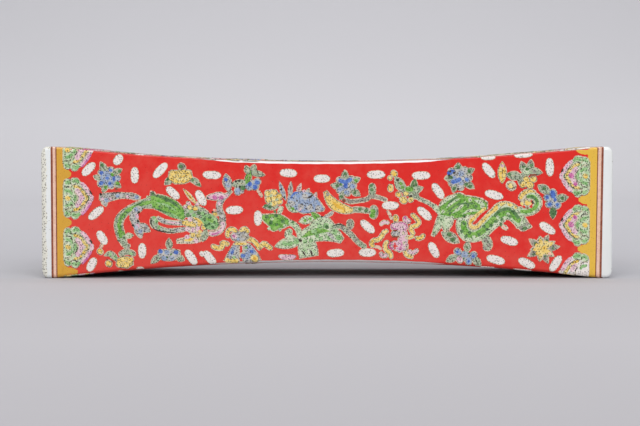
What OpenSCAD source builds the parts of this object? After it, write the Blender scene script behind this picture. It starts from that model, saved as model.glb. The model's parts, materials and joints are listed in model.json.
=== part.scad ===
// Waisted porcelain pillow of square section, built from slabs as a potter builds it:
// four long slabs mitred into a tube, two end slabs, and the clay coils pressed into
// the inner seams. Millimetres. X runs along the length, -Y is the front, Z is up,
// and the origin is on the table under the middle.

/* [Body] */
// Overall length, over both end slabs
length = 360; // [300:5:420]
// Height at the ends
end_height = 83; // [70:1:100]
// Depth at the ends, front to back
end_depth = 83; // [70:1:100]
// How far each of the four long faces dips in at the waist
waist_dip = 9.5; // [5:0.5:14]
// Rounding of the four long edges
edge_round = 2.5; // [2.5:0.5:4]

/* [Slabs] */
// Thickness of the four long slabs
wall = 6.5; // [5:0.5:9]
// Thickness of the two end slabs
end_wall = 6.5; // [5:0.5:9]
// Rounding of the outer rim of the end slabs, less than that of the long edges
rim_round = 2; // [1:0.25:2]

/* [Vent] */
// Bore of the firing vent in the closing end slab
vent_bore = 9; // [5:0.5:14]

/* [Seam coils] */
// How far a coil spreads over each of the two slabs that it seals
coil_leg = 6; // [4:0.5:9]
// How far the pressed face of a coil is hollowed
coil_hollow = 0.9; // [0.3:0.1:1.2]

/* [Hidden] */

// Colours of the glazed outside and of the bare clay inside
red_enamel = "#d8322c";
white_glaze = "#eef0ee";
bare_clay = "#e3d9c8";

// Lengths along X
body_half = length / 2 - end_wall;
station_count = 24;
stations = [for (i = [0:station_count]) body_half * (2 * i / station_count - 1)];

// Each long face is a shallow arc: full dip at the waist, none where it meets the end slabs
arc_radius = (body_half ^ 2 + waist_dip ^ 2) / (2 * waist_dip);
function arc_dip(x) = sqrt(arc_radius ^ 2 - x ^ 2) - (arc_radius - waist_dip);
dip_table = [for (x = stations) [x, arc_dip(x)]];
function dip(x) = lookup(x, dip_table);

// Steps of the rounded edges: an eighth of a circle belongs to each of two mitred slabs
mitre = 45;
round_steps = 4;
vent_facets = 64;

// Steps across the hollow face of a coil
coil_steps = 6;

// Closed solid through rings of points, each seen from one side in the same sense.
// The first point of the first and last ring sees the whole of its ring.
module loft(rings) {
    m = len(rings[0]);
    last = (len(rings) - 1) * m;
    sides = [
        for (i = [0:len(rings) - 2], j = [0:m - 1])
            let (a = i * m + j, b = i * m + (j + 1) % m)
                each [[a, b, a + m], [a + m, b, b + m]]
    ];
    caps = [
        for (j = [1:m - 2])
            each [[0, j + 1, j], [last, last + j, last + j + 1]]
    ];
    polyhedron([for (ring = rings) each ring], concat(sides, caps));
}

// Closed solid through rings of points that also close on the first ring, as a picture frame does
module frame_loft(rings) {
    m = len(rings[0]);
    n = len(rings);
    faces = [
        for (i = [0:n - 1], j = [0:m - 1])
            let (
                a = i * m + j, b = i * m + (j + 1) % m,
                c = ((i + 1) % n) * m + j, d = ((i + 1) % n) * m + (j + 1) % m
            )
                each [[a, b, c], [c, b, d]]
    ];
    polyhedron([for (ring = rings) each ring], faces);
}

// Section of a long slab at x: the face that shows is at +Z, and both sides are mitred.
// across and out are half the body's size along and square to that face, at the ends.
function slab_section(x, across, out) =
    let (
        a = across - dip(x),
        o = out - dip(x),
        turns = [for (i = [0:round_steps]) mitre + i * (90 - mitre) / round_steps],
        near = [for (t = turns) [a - edge_round * (1 - cos(t)), o - edge_round * (1 - sin(t))]],
        far = [for (i = [round_steps:-1:0]) [-near[i][0], near[i][1]]]
    )
    [
        for (p = concat(near, far, [[wall - a, o - wall], [a - wall, o - wall]]))
            [x, p[0], p[1]]
    ];

module long_slab(across, out) {
    color(red_enamel)
        loft([for (x = stations) slab_section(x, across, out)]);
}

// Face of a coil, from one leg to the other, as distances from the two slabs that it seals
function coil_face(t) =
    let (sink = coil_hollow * 4 * t * (1 - t) / sqrt(2))
    [coil_leg * (1 - t) - sink, coil_leg * t - sink];
coil_points = [for (i = [0:coil_steps]) coil_face(i / coil_steps)];

// Half depth and half height of the hollow at x
function hollow_half(x) = [end_depth / 2 - dip(x) - wall, end_height / 2 - dip(x) - wall];

// Outline of a coil, from the inner corner that it fills
coil_outline = concat([[0, 0]], coil_points);

// Section of a long seam coil at x, in the corner of the hollow at +Y and +Z
function seam_section(x) =
    let (half = hollow_half(x))
    [for (p = coil_outline) [x, half[0] - p[0], half[1] - p[1]]];

// The long coils start where the coil round the left end stops, and reach the closing slab
coil_stations = concat(
    [coil_leg - body_half],
    [for (x = stations) if (x > coil_leg - body_half) x]
);

module seam_coil() {
    color(bare_clay)
        loft([for (x = coil_stations) seam_section(x)]);
}

// Outline of an end slab at x, inset by what the rounded rim takes off there
function end_section(x, inset) = [
    for (quarter = [0:3], i = [0:2 * round_steps])
        let (
            turn = 90 * (quarter + i / (2 * round_steps)),
            y_side = quarter == 0 || quarter == 3 ? 1 : -1,
            z_side = quarter < 2 ? 1 : -1,
            r = edge_round - inset
        )
        [
            x,
            y_side * (end_depth / 2 - edge_round) + r * cos(turn),
            z_side * (end_height / 2 - edge_round) + r * sin(turn)
        ]
];

// End slab on the right: square-edged where it meets the long slabs, its rounded rim outwards
module end_slab() {
    rim = [
        for (i = [0:round_steps])
            let (turn = 90 * i / round_steps)
                end_section(
                    length / 2 - rim_round * (1 - sin(turn)),
                    rim_round * (1 - cos(turn))
                )
    ];
    color(white_glaze)
        loft(concat([end_section(body_half, 0)], rim));
}

// Lifts the body, drawn about its long axis, so that its lower edges rest on the table
module stand() {
    translate([0, 0, end_height / 2])
        children();
}

module top_slab() {
    stand() long_slab(end_depth / 2, end_height / 2);
}

module base_slab() {
    stand() rotate([180, 0, 0]) long_slab(end_depth / 2, end_height / 2);
}

module front_slab() {
    stand() rotate([90, 0, 0]) long_slab(end_height / 2, end_depth / 2);
}

module back_slab() {
    stand() rotate([-90, 0, 0]) long_slab(end_height / 2, end_depth / 2);
}

// The last slab to go on holds the vent that lets hot air out in the kiln
module right_end_slab() {
    stand()
        color(white_glaze)
            difference() {
                end_slab();
                translate([length / 2 - 2 * end_wall, 0, 0])
                    rotate([0, 90, 0])
                        cylinder(d = vent_bore, h = 3 * end_wall, $fn = vent_facets);
            }
}

module left_end_slab() {
    stand() mirror([1, 0, 0]) end_slab();
}

module top_back_seam_coil() {
    stand() seam_coil();
}

module top_front_seam_coil() {
    stand() mirror([0, 1, 0]) seam_coil();
}

module base_back_seam_coil() {
    stand() mirror([0, 0, 1]) seam_coil();
}

module base_front_seam_coil() {
    stand() mirror([0, 1, 0]) mirror([0, 0, 1]) seam_coil();
}

// The coil round the first end slab, pressed in through the end that is still open
module left_end_seam_coil() {
    corners = [[1, 1], [-1, 1], [-1, -1], [1, -1]];
    stand()
        color(bare_clay)
            frame_loft([
                for (c = corners) [
                    for (p = coil_outline)
                        let (x = p[0] - body_half, half = hollow_half(x))
                            [x, c[0] * (half[0] - p[1]), c[1] * (half[1] - p[1])]
                ]
            ]);
}

top_slab();
base_slab();
front_slab();
back_slab();
left_end_slab();
right_end_slab();
top_front_seam_coil();
top_back_seam_coil();
base_front_seam_coil();
base_back_seam_coil();
left_end_seam_coil();
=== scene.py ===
"""Dresses a waisted porcelain pillow: glazed slabs, coral-red ground and enamel painting.

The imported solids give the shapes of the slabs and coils. This script adds what the glazer and
the painter add to them: finishes, softer rims on the end slabs, the red ground of the four long
faces, the borders at both ends, and the raised enamel of the motifs. The same drawing goes on
all four long faces.
"""

import json
import logging
import math
from collections.abc import Callable
from dataclasses import dataclass, field
from enum import Enum

import bpy
import numpy as np
from mathutils import Matrix, Vector

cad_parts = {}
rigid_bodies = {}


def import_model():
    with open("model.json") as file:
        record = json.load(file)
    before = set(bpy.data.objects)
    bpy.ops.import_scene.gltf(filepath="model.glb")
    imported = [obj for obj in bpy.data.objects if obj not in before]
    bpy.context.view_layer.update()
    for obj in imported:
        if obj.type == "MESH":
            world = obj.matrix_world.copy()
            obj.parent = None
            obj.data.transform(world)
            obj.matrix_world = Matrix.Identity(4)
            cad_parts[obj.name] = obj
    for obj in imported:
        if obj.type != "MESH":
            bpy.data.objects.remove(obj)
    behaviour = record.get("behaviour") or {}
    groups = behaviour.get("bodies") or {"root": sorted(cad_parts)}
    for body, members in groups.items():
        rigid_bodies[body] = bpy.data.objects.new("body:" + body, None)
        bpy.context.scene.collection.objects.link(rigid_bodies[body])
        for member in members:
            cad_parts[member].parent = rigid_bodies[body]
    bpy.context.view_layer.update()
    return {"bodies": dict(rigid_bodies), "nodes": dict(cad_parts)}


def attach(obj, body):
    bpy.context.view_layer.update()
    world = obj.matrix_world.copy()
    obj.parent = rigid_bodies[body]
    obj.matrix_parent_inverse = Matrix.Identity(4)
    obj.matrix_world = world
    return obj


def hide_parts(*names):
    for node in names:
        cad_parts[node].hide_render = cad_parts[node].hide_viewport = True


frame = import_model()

log = logging.getLogger("pillow")

MM = 0.001
SMOOTH_ANGLE = math.radians(35)
Array = np.ndarray
Pair = tuple[float, float]
# A place on the ruled sheet, and one in the room
Point = Pair
Place = tuple[float, float, float]
Colour = tuple[float, float, float, float]
# Vertices, one row each, and faces by number of vertex
Mark = tuple[Array, list[tuple[int, ...]]]
Material = bpy.types.Material
Piece = bpy.types.Object
Socket = bpy.types.NodeSocket
Tree = bpy.types.NodeTree


def linear(hex_colour: str) -> Colour:
    """Turn an sRGB hex colour into the linear colour that a shader takes.

    Args:
        hex_colour: Six hex digits after a hash sign.

    Returns:
        Linear red, green and blue, and full opacity.
    """
    parts = [int(hex_colour[i : i + 2], 16) / 255 for i in (1, 3, 5)]
    red, green, blue = (c / 12.92 if c <= 0.04045 else ((c + 0.055) / 1.055) ** 2.4 for c in parts)
    return red, green, blue, 1.0


def add_node(tree: Tree, kind: str, inputs: dict | None = None, **settings) -> bpy.types.NodeOutputs:
    """Add a shader node, with its settings and what feeds its sockets.

    Args:
        tree: Node tree that gets the node.
        kind: Blender's name for the kind of node, after the ShaderNode that each starts with.
        inputs: Value or feeding socket for each input, by socket name or number.
        **settings: Values for the node's own properties.

    Returns:
        Outputs of the new node.
    """
    node = tree.nodes.new(f"ShaderNode{kind}")
    for name, value in settings.items():
        setattr(node, name, value)
    for socket, value in (inputs or {}).items():
        if isinstance(value, Socket):
            tree.links.new(value, node.inputs[socket])
        else:
            node.inputs[socket].default_value = value
    return node.outputs


def new_material(name: str) -> tuple[Material, Tree]:
    """Start an empty node material.

    Args:
        name: Name of the real material.

    Returns:
        The material and its node tree.
    """
    material = bpy.data.materials.new(name)
    material.use_nodes = True
    material.node_tree.nodes.clear()
    return material, material.node_tree


def speck_reach(share: float) -> float:
    """Radius, in cells, of the dots that cover a share of a Voronoi pattern in space."""
    return (3 * share / (4 * math.pi)) ** (1 / 3)


def select_only(piece: Piece, kind: str, wanted: Callable[[list[Vector]], bool]) -> None:
    """Select only the edges or faces whose corners pass a test.

    Args:
        piece: A piece in edit mode.
        kind: EDGE or FACE.
        wanted: Tells from its corners whether an edge or a face is wanted.
    """
    bpy.ops.mesh.select_mode(type=kind)
    bpy.ops.mesh.select_all(action="DESELECT")
    bpy.ops.object.mode_set(mode="OBJECT")
    mesh = piece.data
    for part in mesh.edges if kind == "EDGE" else mesh.polygons:
        part.select = wanted([mesh.vertices[i].co for i in part.vertices])
    bpy.ops.object.mode_set(mode="EDIT")


def finish_piece(piece: Piece, finish: Material) -> None:
    """Smooth a new piece, give it its finish and put it on the pillow's one body.

    Args:
        piece: A piece in object mode.
        finish: Its material.
    """
    bpy.ops.object.select_all(action="DESELECT")
    piece.select_set(True)
    bpy.context.view_layer.objects.active = piece
    bpy.ops.object.shade_smooth_by_angle(angle=SMOOTH_ANGLE)
    piece.data.materials.append(finish)
    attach(piece, "root")


class Face(Enum):
    """Long face of the pillow, with the quarter turns about X and Z that bring the front to it."""

    FRONT = (0, 0)
    TOP = (-1, 0)
    BACK = (0, 2)
    BASE = (1, 0)

    def turn(self) -> Array:
        """Turn that brings the front face's drawing to this face."""
        about_x, about_z = (quarter * math.pi / 2 for quarter in self.value)
        return np.array(Matrix.Rotation(about_z, 3, "Z") @ Matrix.Rotation(about_x, 3, "X"))


@dataclass(frozen=True)
class PillowForm:
    """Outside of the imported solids, which the end slabs and the painting follow, in metres."""

    half_length: float = 0.18
    body_half: float = 0.1735
    end_half: float = 0.0415
    waist_dip: float = 0.0095
    # The slabs are rounded more, but the enamel lies thick along the upper edges and makes them sharper
    edge_round: float = 0.0009
    foot_round: float = 0.0023

    @property
    def arc_radius(self) -> float:
        """Radius of the arc that each long face follows."""
        return (self.body_half**2 + self.waist_dip**2) / (2 * self.waist_dip)

    def dip(self, along: Array) -> Array:
        """How far a long face dips in at distances from its middle, with no dip on the end slabs."""
        reach = np.clip(along, -self.body_half, self.body_half)
        return np.sqrt(self.arc_radius**2 - reach**2) - (self.arc_radius - self.waist_dip)

    def half(self, along: Array) -> Array:
        """Half the height and depth of the pillow at distances from its middle."""
        return self.end_half - self.dip(along)

    def rounding(self, up: Array, face: Face) -> Array:
        """Rounding of the long edge nearest to heights on a face, more for the pillow's lower edges."""
        lift = face.turn()[2]
        return np.where(lift[2] * np.sign(up) - lift[1] > 0, self.edge_round, self.foot_round)


@dataclass(frozen=True)
class OverglazeEnamel:
    """Lead-glass enamel painted over the glaze and fired on.

    It pools, so it is deeper where it lies thick and paler where the brush left it thin. It is
    glossy with a slight ripple, and dotted with the dark colour of the outlines under it.
    """

    name: str
    slot: str
    thick: str
    thin: str
    specks: float = 0.1
    speck_colour: str = "#2c2a22"
    pool: float = 2.2 * MM
    # The real dots are about a third of this apart, too fine to show in a picture of the whole
    speck_spacing: float = 1.05 * MM
    speck_softness: float = 0.12
    speck_strength: float = 0.88
    # How gradually thin paint turns into thick
    blend: float = 0.16
    # How much more often it lies thick for each metre to the right, and up from half the pillow's height. The
    # rise is painted light: the red is paler and pinker lower down, a painted reflection of the lit floor
    run: float = 0.0
    rise: float = 0.0
    # Roughness in the shallowest and the deepest pools
    roughness: Pair = (0.14, 0.3)
    ripple: float = 0.04 * MM
    ior: float = 1.52

    def material(self) -> Material:
        """Make the enamel's node material, or hand back the one already made.

        Returns:
            The enamel's material.
        """
        made = bpy.data.materials.get(self.name)
        if made:
            return made
        material, tree = new_material(self.name)
        place = add_node(tree, "TexCoord")["Object"]
        pooling = {"Vector": place, "Scale": 1 / self.pool, "Detail": 3.0, "Roughness": 0.65}
        pools = add_node(tree, "TexNoise", pooling)[0]
        # With a rise, paint lies thick high up and thin low down: a painted reflection, paler low on the
        # pillow
        slope = {0: place, 1: (self.run, 0, self.rise)}
        lean = add_node(tree, "VectorMath", slope, operation="DOT_PRODUCT")["Value"]
        laid = add_node(tree, "Math", {0: lean, 1: pools}, operation="ADD")[0]
        # The noise swings about a half
        middle = 0.5 + self.rise * PillowForm.end_half
        deepening = {"Value": laid, "From Min": middle - self.blend, "From Max": middle + self.blend}
        depth = add_node(tree, "MapRange", deepening)[0]
        tones = {0: depth, 6: linear(self.thin), 7: linear(self.thick)}
        body = add_node(tree, "Mix", tones, data_type="RGBA")[2]
        dots = add_node(tree, "TexVoronoi", {"Vector": place, "Scale": 1 / self.speck_spacing})["Distance"]
        reach = speck_reach(self.specks)
        inking = {
            "Value": dots,
            "From Min": reach * (1 + self.speck_softness),
            "From Max": reach * (1 - self.speck_softness),
            "To Max": self.speck_strength,
        }
        inked = add_node(tree, "MapRange", inking)[0]
        colour = add_node(tree, "Mix", {0: inked, 6: body, 7: linear(self.speck_colour)}, data_type="RGBA")[2]
        shallow, deep = self.roughness
        gloss = add_node(tree, "MapRange", {"Value": pools, "To Min": shallow, "To Max": deep})[0]
        ripple = add_node(tree, "Bump", {"Height": pools, "Strength": 0.25, "Distance": self.ripple})[0]
        surface = {"Base Color": colour, "Roughness": gloss, "IOR": self.ior, "Normal": ripple}
        shader = add_node(tree, "BsdfPrincipled", surface)[0]
        add_node(tree, "OutputMaterial", {"Surface": shader})
        return material


class Enamel(Enum):
    """Colours on the painter's palette."""

    # The red grows paler and pinker towards the bottom of the pillow through its rise: painted reflection of
    # the lit floor
    CORAL = OverglazeEnamel(
        "coral_red_ground_enamel", "red_enamel", "#df2016", "#e03e33", 0.004, "#8e1710", 9 * MM, 2 * MM,
        run=0.8, rise=3.2,
    )
    AMBER = OverglazeEnamel(
        "amber_yellow_border_enamel", "yellow_enamel", "#d8a337", "#e7ba44", 0.015, "#9a6a24", 5 * MM,
        run=-2.0,
    )
    YELLOW = OverglazeEnamel("lemon_yellow_enamel", "yellow_enamel", "#edc044", "#f2e29e", 0.15, "#43361a")
    LEAF = OverglazeEnamel("leaf_green_enamel", "green_enamel", "#559d2a", "#9ac668", 0.15, "#2b3f1c")
    MOSS = OverglazeEnamel("moss_green_enamel", "green_enamel", "#3a6836", "#6f9560", 0.12, "#1c2a1a")
    MINT = OverglazeEnamel("mint_green_enamel", "green_enamel", "#abcb97", "#dfe3cb", 0.2, "#2f3a27")
    FERN = OverglazeEnamel("fern_green_enamel", "green_enamel", "#7ab268", "#add099", 0.18, "#2c3a22")
    SAGE = OverglazeEnamel("sage_green_enamel", "green_enamel", "#90a684", "#c6ccb6", 0.22, "#2a3022")
    COBALT = OverglazeEnamel("cobalt_blue_enamel", "blue_enamel", "#2f55b0", "#6d90d2", 0.07, "#1b2444")
    SKY = OverglazeEnamel("sky_blue_enamel", "blue_enamel", "#829bc4", "#b9c1ca", 0.18, "#2c3040")
    PEARL = OverglazeEnamel("pearl_grey_enamel", "white_enamel", "#a7aaac", "#d1cdc3", 0.24, "#37343a")
    GREY = OverglazeEnamel("grey_enamel", "dark_line", "#8b897c", "#bdb5a6", 0.22, "#2c2a24")
    ROSE = OverglazeEnamel("rose_pink_enamel", "pink_enamel", "#c25193", "#e09cc2", 0.08, "#5a2140")
    LILAC = OverglazeEnamel("lilac_pink_enamel", "pink_enamel", "#d8a3ba", "#efd8d9", 0.15, "#4a2c40")
    PEACH = OverglazeEnamel("peach_stripe_enamel", "pink_enamel", "#e9b9a0", "#f1ccb8", 0.02, "#a9705a")
    WHITE = OverglazeEnamel("opaque_white_enamel", "white_enamel", "#f3ece7", "#e8e1db", 0.08, "#5a524a")
    RESERVE = OverglazeEnamel("outlined_white_reserve", "white_enamel", "#e3d9c4", "#cbbc9b", 0.24, "#30261a")
    OUTLINE = OverglazeEnamel(
        "broken_brown_black_outline", "dark_line", "#241e16", "#cfc2a2", 0.1, "#1c1812", 1.9 * MM, blend=0.05
    )
    BROWN = OverglazeEnamel("iron_brown_line", "dark_line", "#7d3a25", "#9c5a42", 0.05, "#40180e")
    INK = OverglazeEnamel("brown_black_line", "dark_line", "#2a221d", "#4b4036", 0.05, "#171210")


# Each colour by its own name, for the drawings
(
    CORAL, AMBER, YELLOW, LEAF, MOSS, MINT, FERN, SAGE, COBALT, SKY, PEARL,
    GREY, ROSE, LILAC, PEACH, WHITE, RESERVE, OUTLINE, BROWN, INK,
) = Enamel


@dataclass(frozen=True)
class PorcelainGlaze:
    """White porcelain under a clear, bluish fired glaze.

    It is glossy and even, with soft grey clouds, a slight orange-peel ripple and a few iron
    dots. A worn end has lost its glaze: it is cream, gritty and matt.
    """

    name: str
    white: str = "#edeeec"
    cloud: str = "#e3e7e7"
    iron: str = "#8d8270"
    cloud_size: float = 14 * MM
    ripple: float = 0.1 * MM
    iron_spacing: float = 5 * MM
    # Where an iron dot starts and is full, in shares of its cell, and how dark it is
    iron_rim: Pair = (0.08, 0.05)
    iron_strength: float = 0.6
    # Roughness of the darkest and the palest clouds
    roughness: Pair = (0.084, 0.18)
    ior: float = 1.5
    # The glaze is worn off left of worn_x and above worn_z, with a ragged and slightly soft border
    worn_x: float | None = None
    worn_z: float = 0.0816
    rag: float = 4 * MM
    border: float = 0.3 * MM
    worn: str = "#e4e2d6"
    # Roughness of the glaze beside the worn part, and of the worn part
    worn_roughness: Pair = (0.12, 0.6)
    grit: str = "#4f483b"
    # Grit is finer than this in fact; it is drawn coarse enough to show
    grit_spacing: float = 1.2 * MM
    grit_share: float = 0.18
    grit_rim: Pair = (1.1, 0.8)
    grit_strength: float = 0.8
    # The pillow stood on this end in the kiln: grit clings to the rim and thins out towards the middle
    grit_thins: Pair = (0.03, 0.038)
    grit_left: float = 0.16

    def material(self) -> Material:
        """Make the glaze's node material, with a worn end where it has one.

        Returns:
            The glaze's material.
        """
        material, tree = new_material(self.name)
        place = add_node(tree, "TexCoord")["Object"]
        clouds = add_node(tree, "TexNoise", {"Vector": place, "Scale": 1 / self.cloud_size, "Detail": 4.0})[0]
        tones = {0: clouds, 6: linear(self.white), 7: linear(self.cloud)}
        body = add_node(tree, "Mix", tones, data_type="RGBA")[2]
        dots = add_node(tree, "TexVoronoi", {"Vector": place, "Scale": 1 / self.iron_spacing})["Distance"]
        start, full = self.iron_rim
        dotting = {"Value": dots, "From Min": start, "From Max": full, "To Max": self.iron_strength}
        iron = add_node(tree, "MapRange", dotting)[0]
        colour = add_node(tree, "Mix", {0: iron, 6: body, 7: linear(self.iron)}, data_type="RGBA")[2]
        dark, pale = self.roughness
        gloss = add_node(tree, "MapRange", {"Value": clouds, "To Min": dark, "To Max": pale})[0]
        if self.worn_x is not None:
            colour, gloss = self.wear(tree, place, colour)
        ripple = add_node(tree, "Bump", {"Height": clouds, "Strength": 0.2, "Distance": self.ripple})[0]
        surface = {"Base Color": colour, "Roughness": gloss, "IOR": self.ior, "Normal": ripple}
        shader = add_node(tree, "BsdfPrincipled", surface)[0]
        add_node(tree, "OutputMaterial", {"Surface": shader})
        return material

    def wear(self, tree: Tree, place: Socket, colour: Socket) -> tuple[Socket, Socket]:
        """Wear the glaze off what lies left of worn_x or above worn_z.

        Args:
            tree: Node tree of the glaze.
            place: Object coordinates.
            colour: Colour of the sound glaze.

        Returns:
            Colour and roughness of the glaze with its worn part.
        """
        rag = add_node(tree, "TexNoise", {"Vector": place, "Scale": 1 / self.rag, "Detail": 4.0})[0]
        axes = add_node(tree, "SeparateXYZ", {0: place})
        outside = self.past_limit(tree, rag, axes["X"], self.worn_x, -1)
        above = self.past_limit(tree, rag, axes["Z"], self.worn_z, 1)
        bare = add_node(tree, "Math", {0: outside, 1: above}, operation="MAXIMUM")[0]
        grit = self.gather_grit(tree, place, axes)
        tones = {0: grit, 6: linear(self.worn), 7: linear(self.grit)}
        bared = add_node(tree, "Mix", tones, data_type="RGBA")[2]
        mixed = add_node(tree, "Mix", {0: bare, 6: colour, 7: bared}, data_type="RGBA")[2]
        beside, within = self.worn_roughness
        gloss = add_node(tree, "MapRange", {"Value": bare, "To Min": beside, "To Max": within})[0]
        return mixed, gloss

    def gather_grit(self, tree: Tree, place: Socket, axes: bpy.types.NodeOutputs) -> Socket:
        """Scatter grit that thins out from the rim towards the middle of the end.

        Args:
            tree: Node tree of the glaze.
            place: Object coordinates.
            axes: The same, one by one.

        Returns:
            How much grit there is.
        """
        dots = add_node(tree, "TexVoronoi", {"Vector": place, "Scale": 1 / self.grit_spacing})["Distance"]
        start, full = (speck_reach(self.grit_share) * share for share in self.grit_rim)
        dotting = {"Value": dots, "From Min": start, "From Max": full, "To Max": self.grit_strength}
        grit = add_node(tree, "MapRange", dotting)[0]
        aside = add_node(tree, "Math", {0: axes["Y"]}, operation="ABSOLUTE")[0]
        level = add_node(tree, "Math", {0: axes["Z"], 1: PillowForm.end_half}, operation="SUBTRACT")[0]
        apart = add_node(tree, "Math", {0: level}, operation="ABSOLUTE")[0]
        outer = add_node(tree, "Math", {0: aside, 1: apart}, operation="MAXIMUM")[0]
        inner, rim = self.grit_thins
        thinning = {"Value": outer, "From Min": inner, "From Max": rim, "To Min": self.grit_left}
        clinging = add_node(tree, "MapRange", thinning)[0]
        return add_node(tree, "Math", {0: grit, 1: clinging}, operation="MULTIPLY")[0]

    def past_limit(self, tree: Tree, rag: Socket, axis: Socket, limit: float, direction: int) -> Socket:
        """Find what lies past a limit along one axis, with a ragged border.

        Args:
            tree: Node tree of the glaze.
            rag: Noise that makes the border ragged.
            axis: Object coordinate along the axis.
            limit: Where the border lies.
            direction: 1 for what lies above the limit, -1 for what lies below it.

        Returns:
            1 past the limit and 0 short of it.
        """
        swing = self.rag * direction
        softness = self.border * direction
        ragged = add_node(tree, "Math", {0: rag, 1: swing, 2: axis}, operation="MULTIPLY_ADD")[0]
        middle = limit + swing / 2
        bounds = {"Value": ragged, "From Min": middle - softness, "From Max": middle + softness}
        return add_node(tree, "MapRange", bounds)[0]


@dataclass(frozen=True)
class BiscuitClay:
    """Unglazed fired clay of the seam coils: matt and warm, with grit and finger-pressed ripples."""

    name: str = "bare_biscuit_porcelain"
    pale: str = "#e6dccb"
    warm: str = "#cdbda4"
    grain: float = 0.8 * MM
    press: float = 9 * MM
    grain_depth: float = 0.1 * MM
    press_depth: float = 0.6 * MM
    roughness: Pair = (0.75, 0.95)
    ior: float = 1.5

    def material(self) -> Material:
        """Make the clay's node material.

        Returns:
            The clay's material.
        """
        material, tree = new_material(self.name)
        place = add_node(tree, "TexCoord")["Object"]
        grain = add_node(tree, "TexNoise", {"Vector": place, "Scale": 1 / self.grain, "Detail": 5.0})[0]
        press = add_node(tree, "TexNoise", {"Vector": place, "Scale": 1 / self.press, "Detail": 2.0})[0]
        tones = {0: grain, 6: linear(self.pale), 7: linear(self.warm)}
        colour = add_node(tree, "Mix", tones, data_type="RGBA")[2]
        pressed = add_node(tree, "Bump", {"Height": press, "Strength": 0.6, "Distance": self.press_depth})[0]
        grit = {"Height": grain, "Strength": 0.3, "Distance": self.grain_depth, "Normal": pressed}
        gritty = add_node(tree, "Bump", grit)[0]
        least, most = self.roughness
        matt = add_node(tree, "MapRange", {"Value": grain, "To Min": least, "To Max": most})[0]
        surface = {"Base Color": colour, "Roughness": matt, "IOR": self.ior, "Normal": gritty}
        shader = add_node(tree, "BsdfPrincipled", surface)[0]
        add_node(tree, "OutputMaterial", {"Surface": shader})
        return material


@dataclass(frozen=True)
class StudioPaper:
    """Matt grey paper of the floor and backdrop: a painted shadow darkest under the pillow, and painted shade
    behind it, lightest far behind it.
    """

    name: str = "matt_grey_paper"
    near: str = "#b3b1b5"
    front: str = "#bcbabe"
    # Painted shadow: the under tone darkens the paper beneath the pillow
    under: str = "#8c8b8f"
    # Painted shade: the behind tone darkens the paper behind the pillow's front line, and lightens towards the
    # far tone
    behind: str = "#bcbbc0"
    far: str = "#d9d8dc"
    beyond: str = "#cccbcf"
    # Depths into the room, or distances aside, at which one tone starts and ends to fade into the next
    near_fade: Pair = (-0.53, -0.33)
    step_fade: Pair = (-0.0428, -0.0408)
    shadow_end_fade: Pair = (0.15, 0.185)
    shadow_back_fade: Pair = (0.012, 0.036)
    behind_fade: Pair = (0.05, 1.6)
    far_fade: Pair = (1.78, 2.06)
    roughness: float = 0.9
    ior: float = 1.4

    def material(self) -> Material:
        """Make the paper's node material.

        Returns:
            The paper's material.
        """
        material, tree = new_material(self.name)
        place = add_node(tree, "TexCoord")["Object"]
        axes = add_node(tree, "SeparateXYZ", {0: place})
        depth = axes["Y"]
        aside = add_node(tree, "Math", {0: axes["X"]}, operation="ABSOLUTE")[0]
        ahead = self.fade(tree, depth, self.near_fade, linear(self.near), linear(self.front))
        # Painted shadow under the pillow: the under tone, fading into the painted shade behind it past the
        # pillow's ends and behind its back
        covered = self.fade(tree, aside, self.shadow_end_fade, linear(self.under), linear(self.behind))
        back = self.fade(tree, depth, self.shadow_back_fade, covered, linear(self.behind))
        # The painted shade behind the pillow lightens far back, then turns into the backdrop tone
        back = self.fade(tree, depth, self.behind_fade, back, linear(self.far))
        back = self.fade(tree, depth, self.far_fade, back, linear(self.beyond))
        # The paper in front of the pillow's front line is lighter than the painted shade behind it
        colour = self.fade(tree, depth, self.step_fade, ahead, back)
        surface = {"Base Color": colour, "Roughness": self.roughness, "IOR": self.ior}
        shader = add_node(tree, "BsdfPrincipled", surface)[0]
        add_node(tree, "OutputMaterial", {"Surface": shader})
        return material

    def fade(
        self, tree: Tree, depth: Socket, reach: Point, first: Colour | Socket, second: Colour | Socket
    ) -> Socket:
        """Fade from one tone to another with the depth into the room, or the distance aside.

        Args:
            tree: Node tree of the paper.
            depth: The depth or distance.
            reach: Depths or distances at which the fade starts and ends.
            first: Tone before the fade.
            second: Tone after it.

        Returns:
            The faded tone.
        """
        start, end = reach
        share = add_node(tree, "MapRange", {"Value": depth, "From Min": start, "From Max": end})[0]
        return add_node(tree, "Mix", {0: share, 6: first, 7: second}, data_type="RGBA")[2]


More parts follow.
